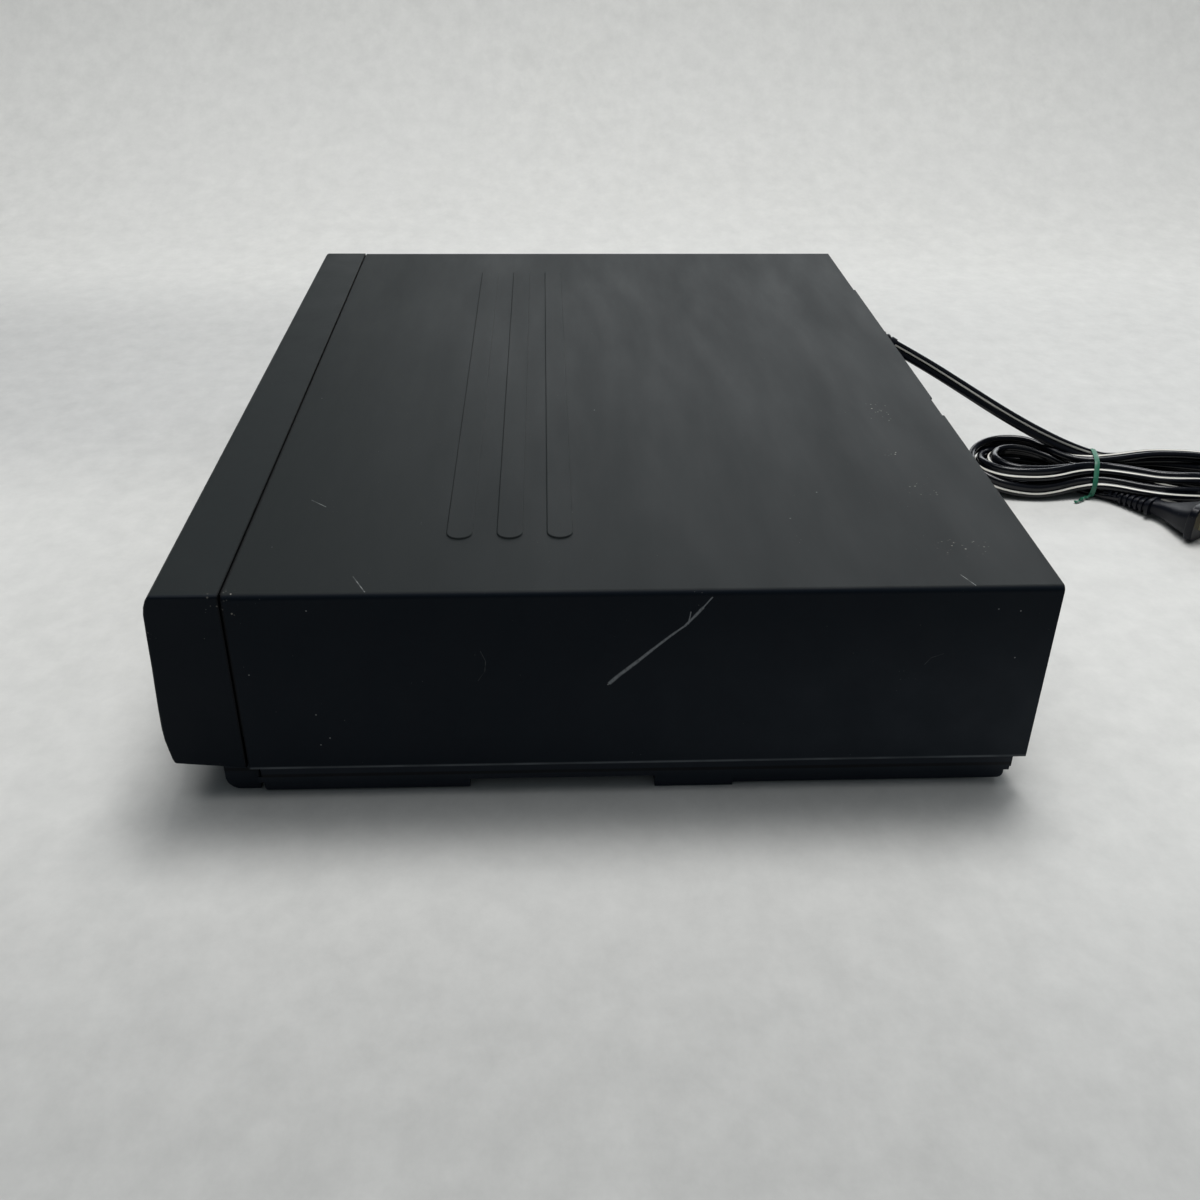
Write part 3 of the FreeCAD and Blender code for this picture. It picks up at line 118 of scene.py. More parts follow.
def spline_points(points, resolution):
    """The points that a smooth spline with these control points runs through."""
    c = bpy.data.curves.new("route", "CURVE")
    c.dimensions = "3D"
    c.resolution_u = resolution
    s = c.splines.new("NURBS")
    s.points.add(len(points) - 1)
    for p, q in zip(s.points, points):
        p.co = (q[0], q[1], q[2], 1.0)
    s.order_u = 3
    s.use_endpoint_u = True
    o = bpy.data.objects.new("route", c)
    m = bpy.data.meshes.new_from_object(o)
    line = [v.co.copy() for v in m.vertices]
    bpy.data.meshes.remove(m)
    bpy.data.objects.remove(o)
    bpy.data.curves.remove(c)
    return line


def directions(line):
    out = []
    for i in range(len(line)):
        a, b = line[max(i - 1, 0)], line[min(i + 1, len(line) - 1)]
        out.append((b - a).normalized())
    return out


def swept(line, sections, close_ends=True, section_slots=None, cap_slot=0):
    """A skin over sections, one list of points per point of the line; every list has the same length."""
    n = len(sections[0])
    verts, faces, slots = [], [], []
    for s in sections:
        verts += s
    for i in range(len(sections) - 1):
        for k in range(n):
            a, b = i * n + k, i * n + (k + 1) % n
            faces.append((a, b, b + n, a + n))
            slots.append(section_slots[k] if section_slots else 0)
    if close_ends:
        faces.append(tuple(reversed(range(n))))
        faces.append(tuple(range((len(sections) - 1) * n, len(sections) * n)))
        slots += [cap_slot, cap_slot]
    return verts, faces, slots


# ------------------------------------------------------------------------------------------------------------------
# Mains cord: a flat twin cord, 6.8 mm wide and 3.4 mm thick, from the gland down to the floor and into its hank.
# Each row is a control point in the row frame in millimetres and the roll of the flat section in degrees.
# The first six are the lead's route; the others are the hank's turns and the end that runs out to the plug.
# ------------------------------------------------------------------------------------------------------------------
CORD = [
    (-99.0, 159.7, 57.1, -78), (-92.5, 174.2, 50.6, -78), (-82.0, 192.7, 41.4, -78), (-72.4, 211.7, 31.4, -76), (-64.0, 230.2, 22.8, -72),
    (-57.2, 246.2, 16.8, -60), (-50.8, 260.5, 13.6, -45), (-51.2, 270.2, 13.6, -29), (-51.2, 283.6, 13.5, 3), (-49.3, 305.3, 12.9, 40),
    (-45.3, 318.7, 12.0, 46), (-34.8, 326.3, 11.0, 53), (-23.5, 323.8, 10.4, 59), (-14.3, 312.0, 11.2, 62), (-13.7, 297.8, 11.4, 56),
    (-16.2, 281.5, 11.0, 50), (-21.7, 271.2, 10.3, 46), (-29.0, 262.2, 9.6, 50), (-34.9, 253.5, 8.2, 58), (-35.1, 243.2, 6.8, 64),
    (-32.5, 231.2, 5.1, 70), (-32.1, 220.5, 4.2, 72), (-35.6, 203.4, 6.3, 74), (-49.8, 194.1, 8.8, 75), (-66.2, 197.7, 11.3, 77),
    (-75.3, 211.8, 13.5, 78), (-71.3, 228.0, 14.8, 80), (-63.8, 236.1, 13.6, 61), (-51.5, 244.6, 14.1, 21), (-45.4, 254.0, 15.6, 2),
    (-45.4, 264.8, 16.5, 2), (-47.2, 275.7, 17.1, 3), (-49.1, 287.5, 17.5, 5), (-48.2, 306.6, 17.2, 6), (-44.9, 318.3, 16.7, 8),
    (-35.1, 324.8, 16.1, 11), (-24.2, 322.4, 15.7, 13), (-18.3, 312.5, 15.7, 16), (-19.7, 301.1, 17.0, 24), (-24.5, 282.5, 15.1, 30),
    (-30.6, 272.6, 14.7, 38), (-36.5, 263.7, 14.0, 43), (-39.4, 254.1, 13.9, 46), (-38.8, 243.9, 13.5, 49), (-35.5, 232.0, 12.5, 56),
    (-35.0, 220.8, 12.1, 60), (-38.5, 206.8, 11.6, 64), (-50.8, 199.0, 10.7, 68), (-65.1, 202.0, 9.5, 72), (-73.2, 214.3, 8.3, 76),
    (-70.5, 228.5, 7.6, 80), (-65.9, 238.7, 7.3, 79), (-59.4, 248.3, 6.5, 77), (-55.4, 257.5, 6.4, 76), (-53.8, 267.2, 7.1, 76),
    (-52.6, 277.1, 8.1, 78), (-50.8, 288.0, 9.3, 79), (-46.5, 303.2, 9.6, 80), (-43.9, 313.6, 9.6, 78), (-35.6, 319.4, 9.9, 76),
    (-26.1, 317.2, 10.1, 74), (-21.0, 308.4, 10.2, 72), (-23.4, 298.1, 10.2, 70), (-29.3, 283.6, 10.6, 55), (-35.2, 273.6, 11.1, 35),
    (-40.2, 264.5, 11.5, 19), (-43.5, 255.0, 11.6, 12), (-42.9, 244.5, 11.8, 24), (-39.4, 232.5, 12.0, 49), (-38.8, 222.4, 12.0, 60),
    (-41.2, 211.4, 12.2, 60), (-50.6, 205.4, 12.4, 60), (-61.5, 207.7, 12.4, 60), (-67.3, 217.0, 12.3, 60), (-64.6, 227.7, 12.1, 60),
    (-59.9, 236.5, 10.8, 48), (-52.4, 246.1, 9.2, 21), (-48.1, 255.6, 8.8, 8), (-47.5, 265.9, 8.0, 16), (-48.4, 276.5, 5.8, 36),
    (-49.3, 288.2, 3.4, 62), (-49.3, 305.9, 3.5, 84), (-46.4, 319.1, 4.1, 84), (-35.5, 326.4, 4.2, 84), (-23.2, 323.6, 3.9, 84),
    (-16.5, 312.2, 3.6, 84), (-19.4, 298.9, 3.3, 84), (-26.3, 282.9, 4.1, 64), (-32.3, 273.0, 5.4, 41), (-37.1, 264.0, 6.6, 23),
    (-40.5, 254.6, 7.3, 15), (-39.7, 244.1, 6.8, 32), (-36.2, 231.9, 5.3, 67), (-35.7, 222.0, 4.5, 82), (-38.6, 208.4, 4.2, 82),
    (-50.0, 200.8, 3.9, 83), (-63.2, 203.7, 3.6, 83), (-70.4, 215.4, 3.5, 84), (-67.4, 229.0, 3.4, 84), (-63.2, 237.7, 3.3, 66),
    (-55.7, 247.5, 2.6, 24), (-50.6, 256.7, 2.0, 4), (-48.1, 266.6, 2.2, 14), (-46.3, 276.6, 2.8, 36), (-45.5, 287.5, 3.3, 64),
    (-44.3, 302.2, 3.5, 84), (-42.8, 312.3, 3.5, 84), (-35.0, 318.2, 3.4, 84), (-25.8, 316.4, 3.4, 84), (-21.0, 307.8, 3.4, 84),
    (-23.7, 297.7, 3.5, 84), (-29.9, 283.9, 3.8, 64), (-36.6, 273.9, 4.2, 35), (-42.4, 264.8, 4.8, 12), (-46.5, 255.2, 5.3, 2),
    (-45.2, 244.5, 5.7, 23), (-40.4, 232.3, 5.7, 63), (-39.4, 224.7, 5.5, 75), (-41.3, 214.4, 4.7, 64), (-49.7, 208.7, 4.0, 53),
    (-59.4, 210.8, 3.5, 42), (-64.5, 219.6, 3.0, 31), (-62.3, 230.0, 2.5, 20), (-51.9, 235.3, 1.8, 2), (-44.3, 244.9, 1.8, 0), (-38.5, 252.4, 1.8, 0),
    (-33.1, 258.3, 2.2, 0), (-29.5, 261.7, 3.2, 0), (-25.6, 264.7, 4.2, 0),
]
CORD_W, CORD_R = 6.8 * MM, 1.7 * MM

line = spline_points([Vector(p[:3]) * MM for p in CORD], 10)
rolls = [math.radians(v.x) for v in spline_points([(p[3], 0.0, 0.0) for p in CORD], 10)]

# the section: two round conductors side by side with a shallow groove between them
SECTION = []
for side in (1, -1):
    for k in range(13):
        g = math.radians(-148 + 296 * k / 12)
        SECTION.append((side * (CORD_R + CORD_R * math.cos(g)), side * CORD_R * math.sin(g)))

tangents = directions(line)
across_along = []
for t, roll in zip(tangents, rolls):
    level = t.cross(Vector((0, 0, 1))).normalized()
    across = level * math.cos(roll) + level.cross(t) * math.sin(roll)
    across_along.append((across, across.cross(t)))
sections = [[p + w * a + n * b for a, b in SECTION] for p, (w, n) in zip(line, across_along)]

# the pale tracer is a strip on one conductor, beside the groove
strip = []
for p, (w, n) in zip(line, across_along):
    middle = p - w * CORD_R
    ring = []
    for r, gs in ((CORD_R + 0.03 * MM, (54, 64, 74, 85)), (CORD_R - 0.2 * MM, (85, 74, 64, 54))):
        ring += [middle + (w * math.cos(math.radians(g)) + n * math.sin(math.radians(g))) * r for g in gs]
    strip.append(ring)

verts, faces, slots = swept(line, sections)
v2, f2, _ = swept(line, strip)
base = len(verts)
cord_mesh = mesh_from("mains_cord", verts + v2, faces + [tuple(i + base for i in f) for f in f2], slots + [1] * len(f2))
smooth(cord_mesh, 60)
mains_cord = new_object("mains_cord", cord_mesh)

# ------------------------------------------------------------------------------------------------------------------
# What is on the cord: the gland with its tapered relief, the plug, the wire tie
# ------------------------------------------------------------------------------------------------------------------


def ring(centre, u, v, a, b, power=2.0, n=28):
    """A rounded outline round a centre: power 2 is an ellipse, more is squarer."""
    out = []
    for k in range(n):
        g = 2 * math.pi * k / n
        c, s = math.cos(g), math.sin(g)
        out.append(centre + u * (a * math.copysign(abs(c) ** (2 / power), c)) + v * (b * math.copysign(abs(s) ** (2 / power), s)))
    return out


def lofted(name, stations, n=28, degrees=38):
    """stations: (centre, u, v, half-width, half-height, squareness)"""
    verts, faces, _ = swept(None, [ring(*s, n=n) for s in stations])
    m = mesh_from(name, verts, faces)
    smooth(m, degrees)
    return m


def joined(name, meshes, slots=None):
    b = bmesh.new()
    for i, m in enumerate(meshes):
        before = len(b.faces)
        b.from_mesh(m)
        b.faces.ensure_lookup_table()
        if slots:
            for f in b.faces[before:]:
                f.material_index = slots[i]
    out = bpy.data.meshes.new(name)
    b.to_mesh(out)
    b.free()
    for m in meshes:
        bpy.data.meshes.remove(m)
    return out


def rounded_block(lo, hi, r, steps=3):
    """A block with rounded edges, in mesh code."""
    b = bmesh.new()
    bmesh.ops.create_cube(b, size=1.0)
    lo, hi = Vector(lo), Vector(hi)
    for v in b.verts:
        v.co = Vector([(lo[k] + hi[k]) / 2 + v.co[k] * (hi[k] - lo[k]) for k in range(3)])
    bmesh.ops.bevel(b, geom=list(b.edges), offset=r, segments=steps, profile=0.5, affect="EDGES")
    m = bpy.data.meshes.new("block")
    b.to_mesh(m)
    b.free()
    smooth(m, 50)
    return m


# the gland: a flanged block clipped into the rear panel, then a ribbed sleeve that tapers along the cord
lo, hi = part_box("cord_gland")
first = (Vector(CORD[1][:3]) - Vector(CORD[0][:3])).normalized()
start = Vector(CORD[0][:3]) * MM
level = first.cross(Vector((0, 0, 1))).normalized()
roll0 = math.radians(CORD[0][3])
gw = level * math.cos(roll0) + level.cross(first) * math.sin(roll0)
gn = gw.cross(first)
gy = 0.2662 + -0.1253
stations = []
for k in range(23):
    f = k / 22
    back_by = (1 - f) * 21.0 * MM
    a = 5.1 - 1.1 * f
    b = 4.9 - 2.3 * f
    if k and k < 20 and k % 3 == 0:
        a, b = a - 0.7, b - 0.7
    stations.append((start - first * back_by, gw, gn, a * MM, b * MM, 2.3))
sleeve = lofted("sleeve", stations, n=32, degrees=32)
flange = rounded_block((-0.117, gy, 0.0556), (-0.095, gy + 0.0037, 0.0696), 0.9 * MM)
boss = rounded_block((-0.1145, gy - 0.0056, 0.0576), (-0.0982, gy + 0.0002, 0.0674), 0.4 * MM)
gland = new_object("gland_relief", joined("gland_relief", [sleeve, flange, boss]))
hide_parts("cord_gland")

# the plug, drawn along its own axis and turned into place
PLUG_AT, PLUG_TURN = (-28.7 * MM, 263.0 * MM), math.radians(36)
turn = Matrix.Translation((PLUG_AT[0], PLUG_AT[1], 0)) @ Matrix.Rotation(PLUG_TURN, 4, "Z")
Y, Z = Vector((0, 1, 0)), Vector((0, 0, 1))
stations = []


def plug_ring(x, a, b, z, power=2.6):
    stations.append((Vector((x * MM, 0, z * MM)), Y, Z, a * MM, b * MM, power))


plug_ring(-6.0, 2.9, 1.9, 4.0, 2.2)
plug_ring(-5.4, 3.3, 2.2, 4.0, 2.2)
for k in range(7):  # grip ribs round the relief
    x = -2.6 + k * 2.85
    z = 4.0 + 0.7 * (k / 6) ** 1.5
    grow = 0.09 * k
    plug_ring(x, 2.9 + grow, 2.2 + grow, z, 2.4)
    plug_ring(x + 0.2, 3.7 + grow, 3.0 + grow, z, 2.8)
    plug_ring(x + 1.35, 3.75 + grow, 3.05 + grow, z, 2.8)
    plug_ring(x + 1.55, 2.95 + grow, 2.25 + grow, z, 2.4)
plug_ring(17.7, 3.5, 2.9, 5.0, 2.4)
plug_ring(18.1, 5.6, 4.1, 5.4, 3.0)
plug_ring(19.9, 5.7, 4.3, 5.6, 3.0)
plug_ring(20.4, 3.9, 3.5, 5.7, 2.6)
for x, a, b, z in ((22.4, 3.7, 3.4, 5.7), (25.2, 4.1, 3.7, 5.9), (28, 5.0, 4.2, 6.2), (31, 6.4, 4.8, 6.6), (34, 8.0, 5.5, 7.0), (37.5, 9.9, 6.3, 7.6), (41, 11.5, 7.3, 8.5), (42.6, 12.0, 8.0, 9.0)):
    plug_ring(x, a, b, z, 3.2)
plug_ring(43.0, 12.9, 8.8, 9.2, 4.4)
plug_ring(43.7, 13.3, 9.1, 9.2, 4.6)
plug_ring(46.4, 13.3, 9.1, 9.2, 4.6)
plug_ring(47.0, 12.8, 8.7, 9.2, 4.4)
plug_mesh = lofted("plug_body", stations, n=48, degrees=30)
plug_mesh.transform(turn)
plug = new_object("plug_body", plug_mesh)
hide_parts("power_plug")

# the wire tie: a flat coated strip drawn round the waist of the hank, its two ends twisted together
HANK_AT, HANK_TURN = Vector((-44.0, 259.2, 0)) * MM, math.radians(77.5)
hank = Matrix.Translation(HANK_AT) @ Matrix.Rotation(HANK_TURN, 4, "Z")
into = hank.inverted()
TIE_U = -4.3 * MM
waist = []
for s in sections:
    for p in s:
        q = into @ p
        if abs(q.x - TIE_U) < 1.6 * MM and abs(q.y) < 14 * MM:
            waist.append((q.y, q.z))
waist.sort()


def half_hull(points):
    h = []
    for p in points:
        while len(h) > 1 and (h[-1][0] - h[-2][0]) * (p[1] - h[-2][1]) - (h[-1][1] - h[-2][1]) * (p[0] - h[-2][0]) <= 0:
            h.pop()
        h.append(p)
    return h


hull = half_hull(waist)[:-1] + half_hull(waist[::-1])[:-1]
mid = (sum(p[0] for p in hull) / len(hull), sum(p[1] for p in hull) / len(hull))


def loop_at(g):
    """The point of the hull's outline in the direction g from its middle."""
    d = (math.cos(g), math.sin(g))
    best = 0.0
    for a, b in zip(hull, hull[1:] + hull[:1]):
        ex, ey = b[0] - a[0], b[1] - a[1]
        det = d[0] * ey - d[1] * ex
        if abs(det) < 1e-12:
            continue
        rx, ry = a[0] - mid[0], a[1] - mid[1]
        t = (rx * ey - ry * ex) / det
        f = (rx * d[1] - ry * d[0]) / det
        if -1e-6 <= f <= 1 + 1e-6 and t > 0:
            best = max(best, t)
    return best


radii = [loop_at(2 * math.pi * k / 72) for k in range(72)]
eased = [sum(radii[(k + j) % 72] for j in (-2, -1, 0, 1, 2)) / 5 + 0.35 * MM for k in range(72)]
eased = [max(e, r + 0.15 * MM) for e, r in zip(eased, radii)]
loop = []
for k, e in enumerate(eased):
    g = 2 * math.pi * k / 72
    y, z = mid[0] + e * math.cos(g), mid[1] + e * math.sin(g)
    lean = 0.6 * MM * math.sin(g)
    loop.append(hank @ Vector((TIE_U + lean, y, max(z, 0.35 * MM))))


def strip_ring(p, wide, thick, a=1.2 * MM, b=0.28 * MM):
    """Section of the tie: a flat strip with the wire's round core showing as a swelling down its middle."""
    out = []
    for x, y in ((-1, -0.45), (-0.55, -0.6), (0, -1.45), (0.55, -0.6), (1, -0.45), (1, 0.45), (0.55, 0.6), (0, 1.45), (-0.55, 0.6), (-1, 0.45)):
        out.append(p + wide * (x * a) + thick * (y * b))
    return out


u_axis = (hank.to_3x3() @ Vector((1, 0, 0))).normalized()
band = []
for k in range(73):
    p, q = loop[k % 72], loop[(k + 1) % 72]
    t = (q - loop[(k - 1) % 72]).normalized()
    band.append(strip_ring(p, u_axis, t.cross(u_axis).normalized()))
va, fa, _ = swept(None, band, close_ends=False)
band_mesh = mesh_from("band", va, fa)
smooth(band_mesh, 50)
tails = []
for sgn in (1, -1):
    end = [(-4.6, -12.0, 3.6 + 0.6 * sgn), (-5.6, -13.2, 2.4 + 0.3 * sgn), (-7.2, -14.6, 1.7), (-9.4, -16.4, 1.35), (-11.2, -17.6 - 0.8 * sgn, 1.2 + 0.25 * sgn), (-12.6 - 0.9 * sgn, -19.4 - 0.8 * sgn, 1.2)]
    if sgn < 0:
        end = end[:5]
    pts = spline_points([hank @ (Vector(p) * MM) for p in end], 14)
    dirs = directions(pts)
    rings = []
    for i, (p, t) in enumerate(zip(pts, dirs)):
        level = t.cross(Vector((0, 0, 1))).normalized()
        g = math.radians(20 + 560 * i / len(pts)) + (math.pi / 2 if sgn < 0 else 0)
        w = level * math.cos(g) + level.cross(t) * math.sin(g)
        n = w.cross(t)
        q = p + n * (0.30 * MM * sgn)
        q.z = max(q.z, 0.95 * MM)
        rings.append(strip_ring(q, w, n, a=0.8 * MM, b=0.24 * MM))
    vt, ft, _ = swept(None, rings)
    m = mesh_from("tail", vt, ft)
    smooth(m, 50)
    tails.append(m)
tie = new_object("wire_tie", joined("wire_tie", [band_mesh] + tails))
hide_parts("cord_twist_tie")
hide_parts("power_cord_lead", "power_cord_hank")
for o in (mains_cord, gland, plug, tie):
    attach(o, "casing")
[tuple(p) for p in line]

# ------------------------------------------------------------------------------------------------------------------
# Materials, all from nodes
# ------------------------------------------------------------------------------------------------------------------


class Nodes:
    """Builds one material's node tree around a Principled shader."""

    def __init__(self, name):
        self.mat = bpy.data.materials.new(name)
        self.mat.use_nodes = True
        self.t = self.mat.node_tree
        self.t.nodes.clear()
        self.out = self.t.nodes.new("ShaderNodeOutputMaterial")
        self.bsdf = self.t.nodes.new("ShaderNodeBsdfPrincipled")
        self.t.links.new(self.bsdf.outputs[0], self.out.inputs["Surface"])
        self.coords = self.t.nodes.new("ShaderNodeTexCoord").outputs["Object"]
        self.heights = []

    def put(self, socket, value):
        if isinstance(value, bpy.types.NodeSocket):
            self.t.links.new(value, socket)
        else:
            socket.default_value = value

    def node(self, kind, **settings):
        n = self.t.nodes.new(kind)
        for k, v in settings.items():
            setattr(n, k, v)
        return n

    def math(self, op, a, b=0.0, c=None, clamp=False):
        n = self.node("ShaderNodeMath", operation=op, use_clamp=clamp)
        self.put(n.inputs[0], a)
        self.put(n.inputs[1], b)
        if c is not None:
            self.put(n.inputs[2], c)
        return n.outputs[0]

    def vec(self, op, a, b=None, scale=None):
        n = self.node("ShaderNodeVectorMath", operation=op)
        self.put(n.inputs[0], a)
        if b is not None:
            self.put(n.inputs[1], b)
        if scale is not None:
            self.put(n.inputs["Scale"], scale)
        return n.outputs["Value"] if op in ("LENGTH", "DOT_PRODUCT", "DISTANCE") else n.outputs["Vector"]

    def stretched(self, sx, sy, sz):
        n = self.node("ShaderNodeVectorMath", operation="MULTIPLY")
        self.put(n.inputs[0], self.coords)
        n.inputs[1].default_value = (sx, sy, sz)
        return n.outputs["Vector"]

    def noise(self, scale, detail=2.0, rough=0.5, at=None):
        n = self.node("ShaderNodeTexNoise")
        self.put(n.inputs["Vector"], at if at is not None else self.coords)
        n.inputs["Scale"].default_value = scale
        n.inputs["Detail"].default_value = detail
        n.inputs["Roughness"].default_value = rough
        return n.outputs["Fac"]

    def cells(self, scale, out="Distance", at=None, feature="F1"):
        n = self.node("ShaderNodeTexVoronoi", feature=feature)
        self.put(n.inputs["Vector"], at if at is not None else self.coords)
        n.inputs["Scale"].default_value = scale
        return n.outputs[out]

    def ranged(self, value, a, b, c=0.0, d=1.0, smooth=False):
        n = self.node("ShaderNodeMapRange", interpolation_type="SMOOTHSTEP" if smooth else "LINEAR")
        self.put(n.inputs["Value"], value)
        for k, v in (("From Min", a), ("From Max", b), ("To Min", c), ("To Max", d)):
            n.inputs[k].default_value = v
        return n.outputs["Result"]

    def mix(self, f, a, b):
        n = self.node("ShaderNodeMix", data_type="RGBA")
        self.put(n.inputs["Factor"], f)
        self.put(n.inputs[6], a if isinstance(a, bpy.types.NodeSocket) else (*a, 1.0))
        self.put(n.inputs[7], b if isinstance(b, bpy.types.NodeSocket) else (*b, 1.0))
        return n.outputs[2]

    def xyz(self):
        n = self.node("ShaderNodeSeparateXYZ")
        self.put(n.inputs[0], self.coords)
        return n.outputs

    def normal_xyz(self):
        g = self.t.nodes.new("ShaderNodeNewGeometry")
        n = self.node("ShaderNodeSeparateXYZ")
        self.put(n.inputs[0], g.outputs["Normal"])
        return n.outputs

    def stroke(self, points, widths):
        """How far inside a drawn line each place is: 1 on it, 0 off it."""
        total = None
        for (a, b), w in zip(zip(points, points[1:]), widths):
            a, b = Vector(a) * MM, Vector(b) * MM
            d = b - a
            rel = self.vec("SUBTRACT", self.coords, tuple(a))
            t = self.math("MULTIPLY", self.vec("DOT_PRODUCT", rel, tuple(d / d.length_squared)), 1.0, clamp=True)
            near = self.node("ShaderNodeVectorMath", operation="SCALE")
            near.inputs[0].default_value = tuple(d)
            self.put(near.inputs["Scale"], t)
            away = self.vec("DISTANCE", rel, near.outputs["Vector"])
            m = self.ranged(away, w * MM * 0.5, w * MM * 0.22)
            total = m if total is None else self.math("MAXIMUM", total, m)
        return total

    def spots(self, places, radius):
        """1 near any of some places, fading to 0 at the radius."""
        total = None
        for p in places:
            away = self.vec("DISTANCE", self.coords, tuple(Vector(p) * MM))
            m = self.ranged(away, radius * MM, radius * MM * 0.2)
            total = m if total is None else self.math("MAXIMUM", total, m)
        return total

    def bump(self, height, strength, distance):
        n = self.node("ShaderNodeBump")
        n.inputs["Strength"].default_value = strength
        n.inputs["Distance"].default_value = distance
        self.put(n.inputs["Height"], height)
        if self.heights:
            self.put(n.inputs["Normal"], self.heights[-1])
        self.heights.append(n.outputs["Normal"])
        self.t.links.new(n.outputs["Normal"], self.bsdf.inputs["Normal"])

    def set(self, **values):
        names = {"color": "Base Color", "rough": "Roughness", "metal": "Metallic", "spec": "Specular IOR Level", "coat": "Coat Weight", "coat_rough": "Coat Roughness", "ior": "IOR", "through": "Transmission Weight", "sheen": "Sheen Weight", "anis": "Anisotropic"}
        for k, v in values.items():
            s = self.bsdf.inputs[names[k]]
            if k == "color" and not isinstance(v, bpy.types.NodeSocket):
                v = (*v, 1.0)
            self.put(s, v)
        return self.mat


def tone(c, f):
    return tuple(min(1.0, x * f) for x in c)


def moulded(name, color, rough, spec=0.5, grain=1600.0, strength=0.12, vary=0.18, dust=0.0, depth=0.00004):
    """Moulded plastic or rubber: a fine spark-eroded grain, faint handling marks and a little dust."""
    m = Nodes(name)
    patch = m.noise(26.0, 3.0, 0.6)
    col = m.mix(patch, tone(color, 1 - vary), tone(color, 1 + vary))
    if dust:
        fleck = m.ranged(m.cells(420.0), 0.10, 0.04)
        rare = m.ranged(m.noise(60.0, 1.0), 0.60, 0.68)
        col = m.mix(m.math("MULTIPLY", m.math("MULTIPLY", fleck, rare), dust), col, (0.22, 0.22, 0.21))
    m.bump(m.noise(grain, 2.0, 0.6), strength, depth)
    return m.set(color=col, rough=m.ranged(m.noise(55.0, 3.0), 0.3, 0.7, rough - 0.05, rough + 0.07), spec=spec)


def plated(name, color, rough, spangle=0.0, streak=0.0, axis=0, tarnish=0.12, metal=1.0):
    """Bare or plated metal: crystal spangle or rolling streaks, a dull bloom in patches."""
    m = Nodes(name)
    f = m.noise(38.0, 4.0, 0.6)
    col = m.mix(f, tone(color, 1 - tarnish), tone(color, 1 + tarnish * 0.4))
    r = m.ranged(f, 0.3, 0.7, rough - 0.06, rough + 0.08)
    if spangle:
        flake = m.cells(190.0, "Color")
        sep = m.node("ShaderNodeSeparateColor")
        m.put(sep.inputs[0], flake)
        v = sep.outputs[0]
        col = m.mix(m.math("MULTIPLY", v, spangle), col, tone(color, 0.62))
        r = m.math("ADD", r, m.math("MULTIPLY", v, 0.10))
    if streak:
        s = [1.0, 1.0, 1.0]
        s[axis] = 0.03
        lines = m.noise(2600.0, 2.0, 0.6, at=m.stretched(*s))
        m.bump(lines, streak, 0.00003)
        r = m.math("ADD", r, m.math("MULTIPLY", lines, 0.08))
    return m.set(color=col, rough=r, metal=metal)


SLOTS = {}

# painted cover: black satin paint with a fine skin, faint wiping marks, dust, and the scratches and scuffs of use;
# painted light on the top towards the front, painted shade on the side wall, a painted light haze low at the side's
# rear, a painted highlight along the bottom hem, and painted shade along the seam with the panel
m = Nodes("cover_paint")
pos = m.xyz()
broad = m.noise(9.0, 4.0, 0.55, at=m.stretched(1.0, 0.7, 1.0))
wipe = m.noise(30.0, 5.0, 0.65, at=m.stretched(0.35, 1.6, 1.0))
PAINT = (0.0106, 0.0134, 0.0143)
col = m.mix(broad, tone(PAINT, 0.86), tone(PAINT, 1.15))
# painted light: the top face is made lighter towards the front
painted_front_top_light = m.math("MULTIPLY", m.ranged(pos[1], 0.06, -0.12, smooth=True), m.ranged(pos[2], 0.0806, 0.0810))
col = m.mix(m.math("MULTIPLY", painted_front_top_light, 0.7), col, (0.0148, 0.0178, 0.0182))
# painted shade: the side wall is darker and bluer, lighter towards the bottom
painted_side_shade = m.ranged(m.math("ABSOLUTE", pos[0]), 0.1884, 0.1892)
col = m.mix(m.math("MULTIPLY", painted_side_shade, 0.85), col, m.mix(m.ranged(pos[2], 0.070, 0.022), (0.0024, 0.0056, 0.0110), (0.0052, 0.0088, 0.0150)))
flecks = m.math("MULTIPLY", m.ranged(m.cells(420.0), 0.075, 0.03), m.ranged(m.noise(95.0, 1.0), 0.60, 0.69))
col = m.mix(m.math("MULTIPLY", flecks, 0.55), col, (0.20, 0.20, 0.19))
# painted light: a pale haze over the lower rear part of the side wall
painted_side_light_haze = m.math("MULTIPLY", m.ranged(pos[1], -0.06, 0.14, smooth=True), m.ranged(pos[2], 0.088, 0.015, smooth=True))
painted_side_light_haze = m.math("MULTIPLY", painted_side_light_haze, m.ranged(m.math("ABSOLUTE", pos[0]), 0.186, 0.189))
col = m.mix(m.math("MULTIPLY", painted_side_light_haze, m.ranged(m.noise(70.0, 3.0), 0.3, 0.7, 0.35, 0.6)), col, (0.030, 0.037, 0.046))
main = m.stroke(
    [(190, -3.7, 46.4), (190, -1.1, 49.1), (190, 5.3, 54.9), (190, 9.7, 59.1), (190, 13.8, 62.9), (190, 17.2, 65.9), (190, 19.9, 68.1), (190, 23.0, 71.8), (190, 25.3, 74.8), (190, 28.1, 78.6)],
    [1.6, 1.5, 1.3, 1.1, 1.0, 0.8, 1.0, 1.2, 0.6],
)
twig = m.stroke([(190, 21.0, 68.9), (190, 21.4, 71.5), (190, 21.6, 73.3)], [0.6, 0.45])
ragged = m.ranged(m.noise(900.0, 3.0), 0.30, 0.52)
worn = m.math("MULTIPLY", m.math("MAXIMUM", main, twig), m.ranged(ragged, 0.0, 1.0, 0.55, 1.0))
col = m.mix(m.math("MULTIPLY", worn, 0.95), col, (0.22, 0.235, 0.25))
fine = m.stroke([(190, 99.6, 52.0), (190, 101.4, 54.6), (190, 105.2, 56.1)], [0.28, 0.24])
